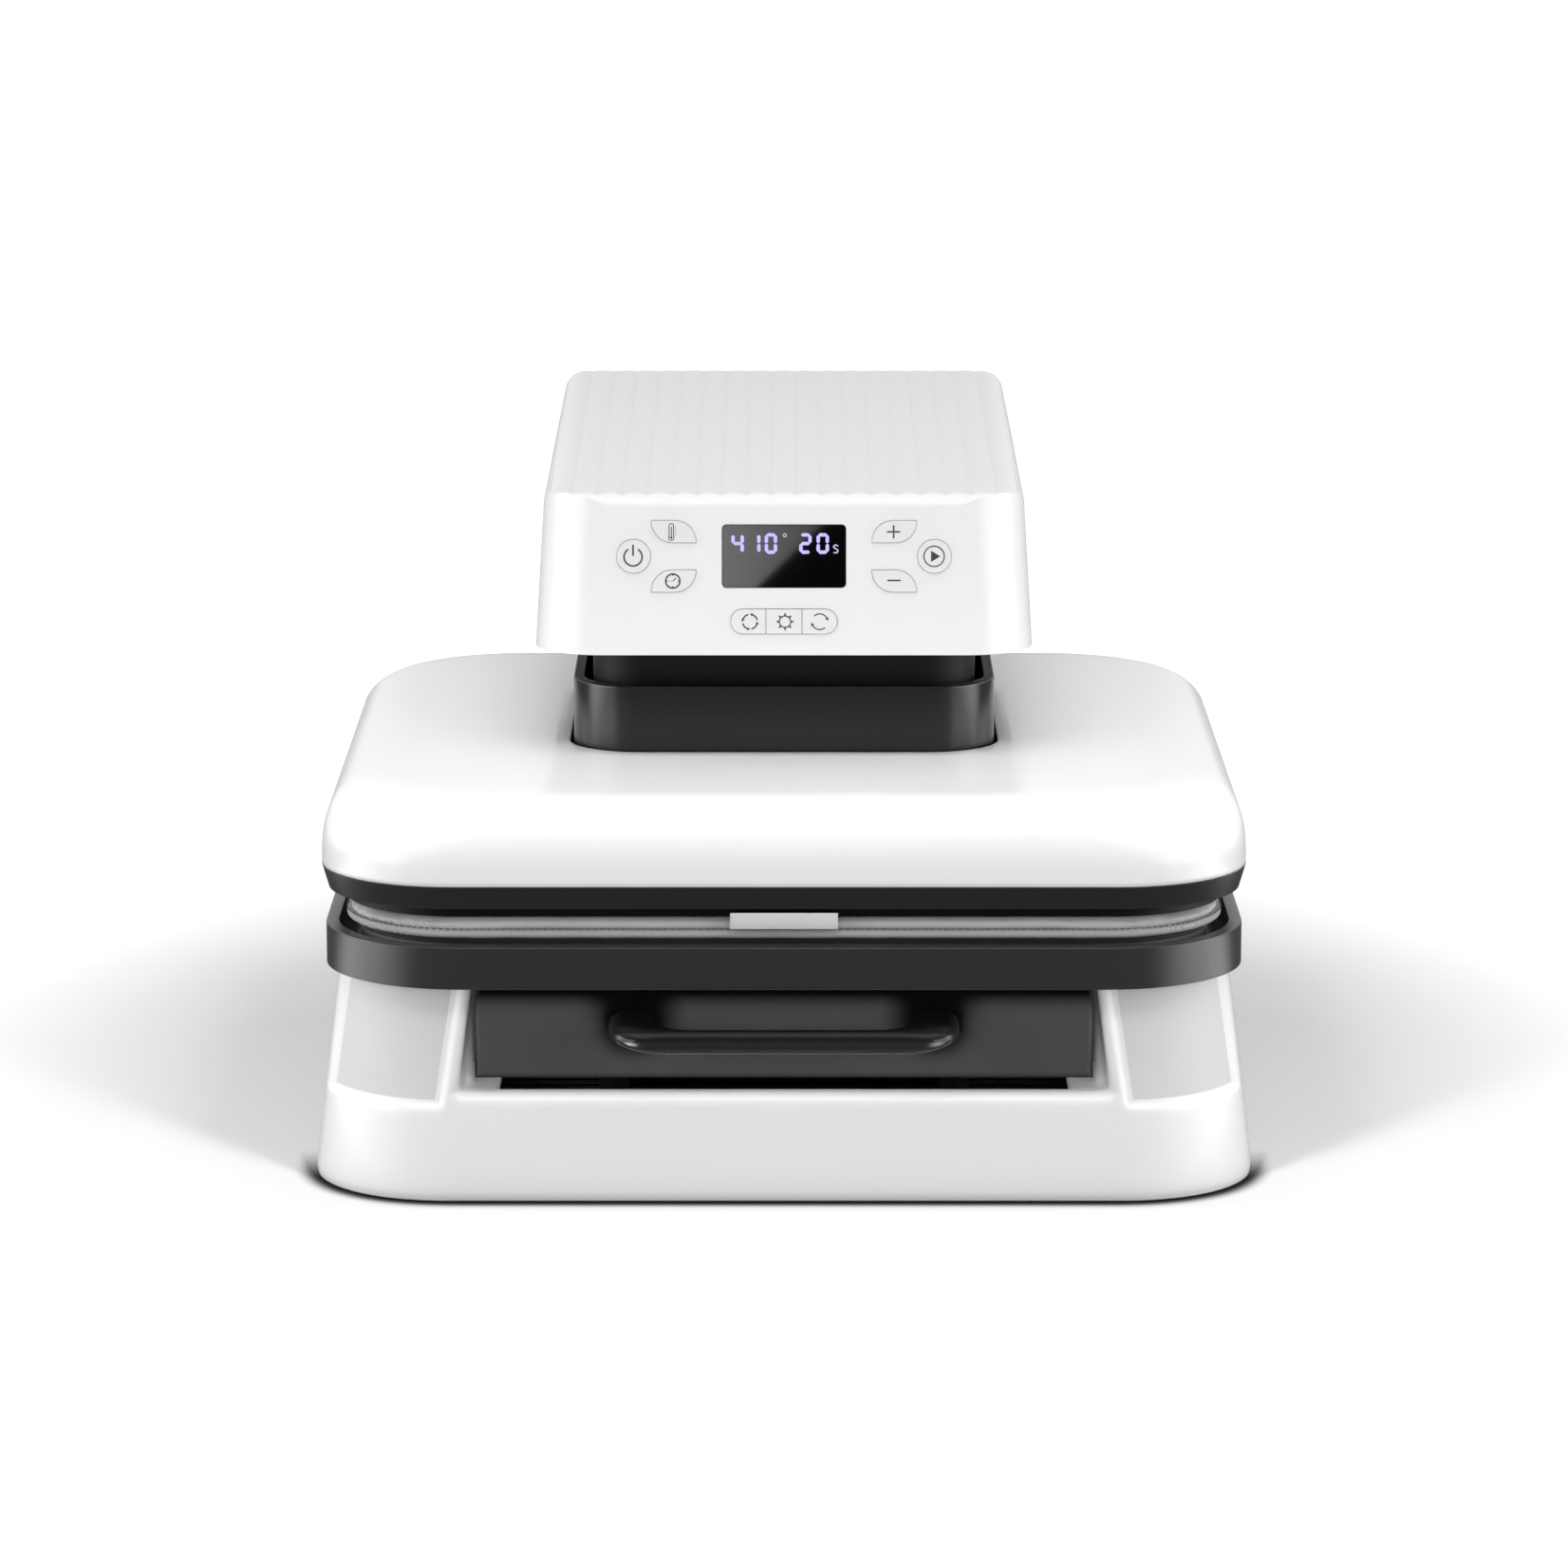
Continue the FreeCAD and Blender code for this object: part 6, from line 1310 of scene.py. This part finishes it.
# %% Floor
FLOOR_REACH = 12.0
FLOOR_SCATTER, FLOOR_SEEN, FLOOR_IN_GLOSS = 0.11, 0.36, 0.04
GLOW_STEPS = ((0.28, 0.75, 0.72), (1.0, 3.0, 0.30))
FRONT_GLOW = (-0.285, -0.238, 0.34)
PAINTED_SHADOW_FRONT, PAINTED_SHADOW_GREY = (-0.19, -0.13), 0.004
GLOW_IN_GLOSS = 0.06
BOARD_GLOW = 3.2
BOARD_ACROSS = (0.42, 0.62)
BOARD_ALONG = ((-0.75, -0.40), (-0.05, 0.20))


def add_flat(name, corners, material):
    """One flat face, in metres, that belongs to the stage and not to the press."""
    mesh = bpy.data.meshes.new(name)
    mesh.from_pydata(corners, [], [tuple(range(len(corners)))])
    mesh.materials.append(material)
    made = bpy.data.objects.new(name, mesh)
    bpy.context.scene.collection.objects.link(made)
    return made


def floor_colour(tree, rays, across):
    tint = mix(tree, rays["Is Camera Ray"], grey(FLOOR_SCATTER), grey(FLOOR_SEEN))
    tint = mix(tree, rays["Is Glossy Ray"], tint, grey(FLOOR_IN_GLOSS))
    # Painted contact shadow: in front of the base only, the colour turns dark grey where the base stands close.
    painted_contact_shadow = place_group(tree, "Corner shade", {"Reach": 0.014, "Dark": 0.6, "Light": 0.97})["Mask"]
    behind = spread(tree, across["Y"], *PAINTED_SHADOW_FRONT, 0.0, 1.0)
    return mix(tree, math_node(tree, "MAXIMUM", painted_contact_shadow, behind), grey(PAINTED_SHADOW_GREY), tint)


def floor_glow(tree, rays, across):
    """The glow with distance, and the boards that reflections see."""
    far = feed(tree, add(tree, "VectorMath", operation="LENGTH"), {0: spot_on(tree)}).outputs["Value"]
    rises = [spread(tree, far, start, end, 0.0, most) for start, end, most in GLOW_STEPS]
    nearest, begins, most = FRONT_GLOW
    ahead = spread(tree, across["Y"], nearest, begins, most, 0.0)
    rise = math_node(tree, "ADD", math_node(tree, "ADD", *rises), ahead)
    seen = math_node(tree, "MAXIMUM", rays["Is Camera Ray"], rays["Is Transmission Ray"])
    seen = math_node(tree, "MAXIMUM", seen, math_node(tree, "MULTIPLY", rays["Is Glossy Ray"], GLOW_IN_GLOSS))
    boards = rays["Is Glossy Ray"]
    sides = math_node(tree, "ABSOLUTE", across["X"])
    for value, limits, low, high in ((sides, BOARD_ACROSS, 0.0, BOARD_GLOW),
                                     (across["Y"], BOARD_ALONG[0], 0.0, 1.0),
                                     (across["Y"], BOARD_ALONG[1], 1.0, 0.0)):
        boards = math_node(tree, "MULTIPLY", boards, spread(tree, value, *limits, low, high))
    return math_node(tree, "ADD", boards, math_node(tree, "MULTIPLY", seen, rise))


def build_floor():
    material, tree, shader = start_material("white_floor")
    rays, across = add(tree, "LightPath").outputs, split(tree, spot_on(tree))
    feed(tree, shader, {"Base Color": floor_colour(tree, rays, across), "Roughness": 0.9,
                        "Specular IOR Level": 0.1, "Emission Color": grey(1.0),
                        "Emission Strength": floor_glow(tree, rays, across)})
    r = FLOOR_REACH
    floor = add_flat("floor", [(-r, -r, 0), (r, -r, 0), (r, r, 0), (-r, r, 0)], material)
    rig.stage(floor)
    return floor


floor = build_floor()
print("floor is", floor.dimensions.x, "m wide")

# %% [markdown]
# ## Lamps
# Each lamp has one job. Wide soft boxes at both sides draw the long highlights on the round corners and flanks.
# A wide strip high in front lights the top and draws the bright line along every upper edge, and a low one
# fills the face. Two tall narrow lamps light only the floor: they throw the fan of shadow at each side of the
# press. A photographer would shade the other lamps with cards, so that each falls on one piece. Here light
# linking does that: there are low ones for the bends of the glossy handle, for the black collar and rim and for
# the base's sides, and high ones for the cover, the bay in the base, the pale tops and the floor.

# %% Soft boxes
LAMP_AIM = (0.0, 0.0, 0.15)


def on_sphere(azimuth, elevation, distance):
    """A place round the press: azimuth from the front, positive to the right, and height in degrees."""
    flat, up = math.radians(azimuth), math.radians(elevation)
    return (distance * math.sin(flat) * math.cos(up), -distance * math.cos(flat) * math.cos(up),
            distance * math.sin(up))


def soft_box(name, sphere, size, power, glossy=True, only=None, shade=None):
    """A lamp at (azimuth, elevation, distance) of (width, height). Its light may be kept to some pieces."""
    data = bpy.data.lights.new(name, "AREA")
    data.shape = "RECTANGLE"
    data.size, data.size_y = size
    data.energy = power
    lamp = bpy.data.objects.new(name, data)
    lamp.location = on_sphere(*sphere)
    lamp.rotation_euler = (Vector(LAMP_AIM) - lamp.location).to_track_quat("-Z", "Y").to_euler()
    lamp.visible_glossy = glossy
    if only:
        lamp.light_linking.receiver_collection = only
    if shade:
        lamp.light_linking.blocker_collection = shade
    bpy.context.scene.collection.objects.link(lamp)


def group_of(name, *members):
    made = bpy.data.collections.new(name)
    for member in members:
        made.objects.link(member)
    return made


floor_alone = group_of("floor_alone", floor)
glass_alone = group_of("glass_alone", NODES["display_window"])
cover_alone = group_of("cover_alone", cover)
pale_tops = group_of("pale_tops", cover, NODES["head_shell"])
base_alone = group_of("base_alone", base)
bands_alone = group_of("bands_alone", NODES["collar"], NODES["platen_rim"])
handle_alone = group_of("handle_alone", bow)
all_but_handle = group_of("all_but_handle", bow)
all_but_handle.collection_objects[0].light_linking.link_state = "EXCLUDE"
for side, label in ((-1, "left"), (1, "right")):
    soft_box("side_box_" + label, (side * 68.0, 13.0, 2.0), (1.8, 0.8), 13.6)
    soft_box("flank_box_" + label, (side * 98.0, 20.0, 2.0), (1.4, 0.8), 8.6)
    soft_box("handle_box_" + label, (side * 50.0, -13.0, 1.2), (0.4, 0.25), 50.0, only=handle_alone,
             shade=handle_alone)
    soft_box("band_box_" + label, (side * 68.0, 6.0, 2.0), (1.6, 0.8), 24.0, only=bands_alone)
    soft_box("base_box_" + label, (side * 88.0, 7.0, 2.0), (1.2, 0.5), 3.4, glossy=False, only=base_alone)
    soft_box("floor_strip_" + label, (side * 28.0, 38.0, 2.0), (0.2, 2.2), 56.0, only=floor_alone)
soft_box("front_strip", (0.0, 13.0, 1.6), (1.2, 0.3), 3.4, glossy=False)
soft_box("top_strip", (0.0, 50.0, 2.2), (2.6, 0.5), 12.5, only=all_but_handle, shade=all_but_handle)
soft_box("cover_strip", (0.0, 64.0, 0.75), (0.5, 0.2), 0.8, glossy=False, only=cover_alone, shade=cover_alone)
soft_box("bay_box", (0.0, 74.0, 2.0), (1.6, 0.5), 13.5, glossy=False, only=base_alone, shade=base_alone)
soft_box("ceiling_strip", (0.0, 76.0, 2.0), (2.2, 0.5), 12.3, glossy=False, only=pale_tops)
soft_box("floor_ceiling", (180.0, 82.0, 2.0), (1.6, 0.25), 19.0, only=floor_alone)
print("lamps:", [o.name for o in bpy.data.objects if o.type == "LIGHT"])

# %% [markdown]
# ## Card for the glass
# Black glass shows nothing of its own, so a photographer lets it mirror a card. A slanted pale card stands in
# front, seen only in reflections, and draws the diagonal edge across the display.

# %% Reflected card
CARD_Y = -1.45
CARD_POINTS = ((-46.0, 380.0), (-46.0, 329.0), (-23.0, 329.0), (29.8, 380.0))
CARD_FADE = ((-46.0 * MM, 24.0 * MM), (3.4, 1.0))


def build_card():
    material, tree, shader = start_material("card_glow")
    fade = spread(tree, split(tree, spot_on(tree))["X"], *CARD_FADE[0], *CARD_FADE[1], smooth=False)
    feed(tree, shader, {"Emission Color": grey(1.0), "Emission Strength": fade})
    card = add_flat("mirror_card", [(x * MM, CARD_Y, z * MM) for x, z in CARD_POINTS], material)
    for ray in ("camera", "diffuse", "transmission", "shadow", "volume_scatter"):
        setattr(card, "visible_" + ray, False)
    card.light_linking.receiver_collection = glass_alone
    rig.stage(card)
    return card


card = build_card()
print("card stands", -CARD_Y, "m in front")

# %% [markdown]
# ## Room
# The room is the last light. It is white where the camera sees it. For soft light it is a weak grey in front
# and brighter behind. In reflections it is pale behind and overhead and dark in front, because a photographer
# works from a dark place: that is what keeps black plastic black.

# %% World
AMBIENT_FRONT, AMBIENT_BACK, AMBIENT_FADE = 0.18, 0.42, (-0.2, 0.6)
MIRROR_FRONT, MIRROR_BACK, MIRROR_FADE = 0.03, 0.7, (-0.3, 0.3)
MIRROR_UP, UP_FADE = 1.0, (0.6, 0.9)


def build_room():
    world = bpy.data.worlds.new("bright_room")
    bpy.context.scene.world = world
    world.use_nodes = True
    tree = world.node_tree
    rays = add(tree, "LightPath").outputs
    heading = split(tree, add(tree, "TexCoord").outputs["Generated"])
    soft = spread(tree, heading["Y"], *AMBIENT_FADE, AMBIENT_FRONT, AMBIENT_BACK)
    mirror = spread(tree, heading["Y"], *MIRROR_FADE, MIRROR_FRONT, MIRROR_BACK)
    ceiling = spread(tree, heading["Z"], *UP_FADE, 0.0, MIRROR_UP)
    light = add(tree, "Mix", data_type="FLOAT")
    feed(tree, light, {0: rays["Is Glossy Ray"], 2: soft, 3: math_node(tree, "MAXIMUM", mirror, ceiling)})
    seen = math_node(tree, "MAXIMUM", rays["Is Camera Ray"], rays["Is Transmission Ray"])
    level = add(tree, "Mix", data_type="FLOAT")
    feed(tree, level, {0: seen, 2: light.outputs[0], 3: 1.0})
    feed(tree, tree.nodes["Background"], {"Color": grey(1.0), "Strength": level.outputs[0]})


build_room()
print("room level:", AMBIENT_FRONT, "in front,", AMBIENT_BACK, "behind")

# %% Finish
json.dump({"cad": [list(corner) for corner in model_box], "visual": [list(corner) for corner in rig.bounds()]},
          open("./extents.json", "w"))
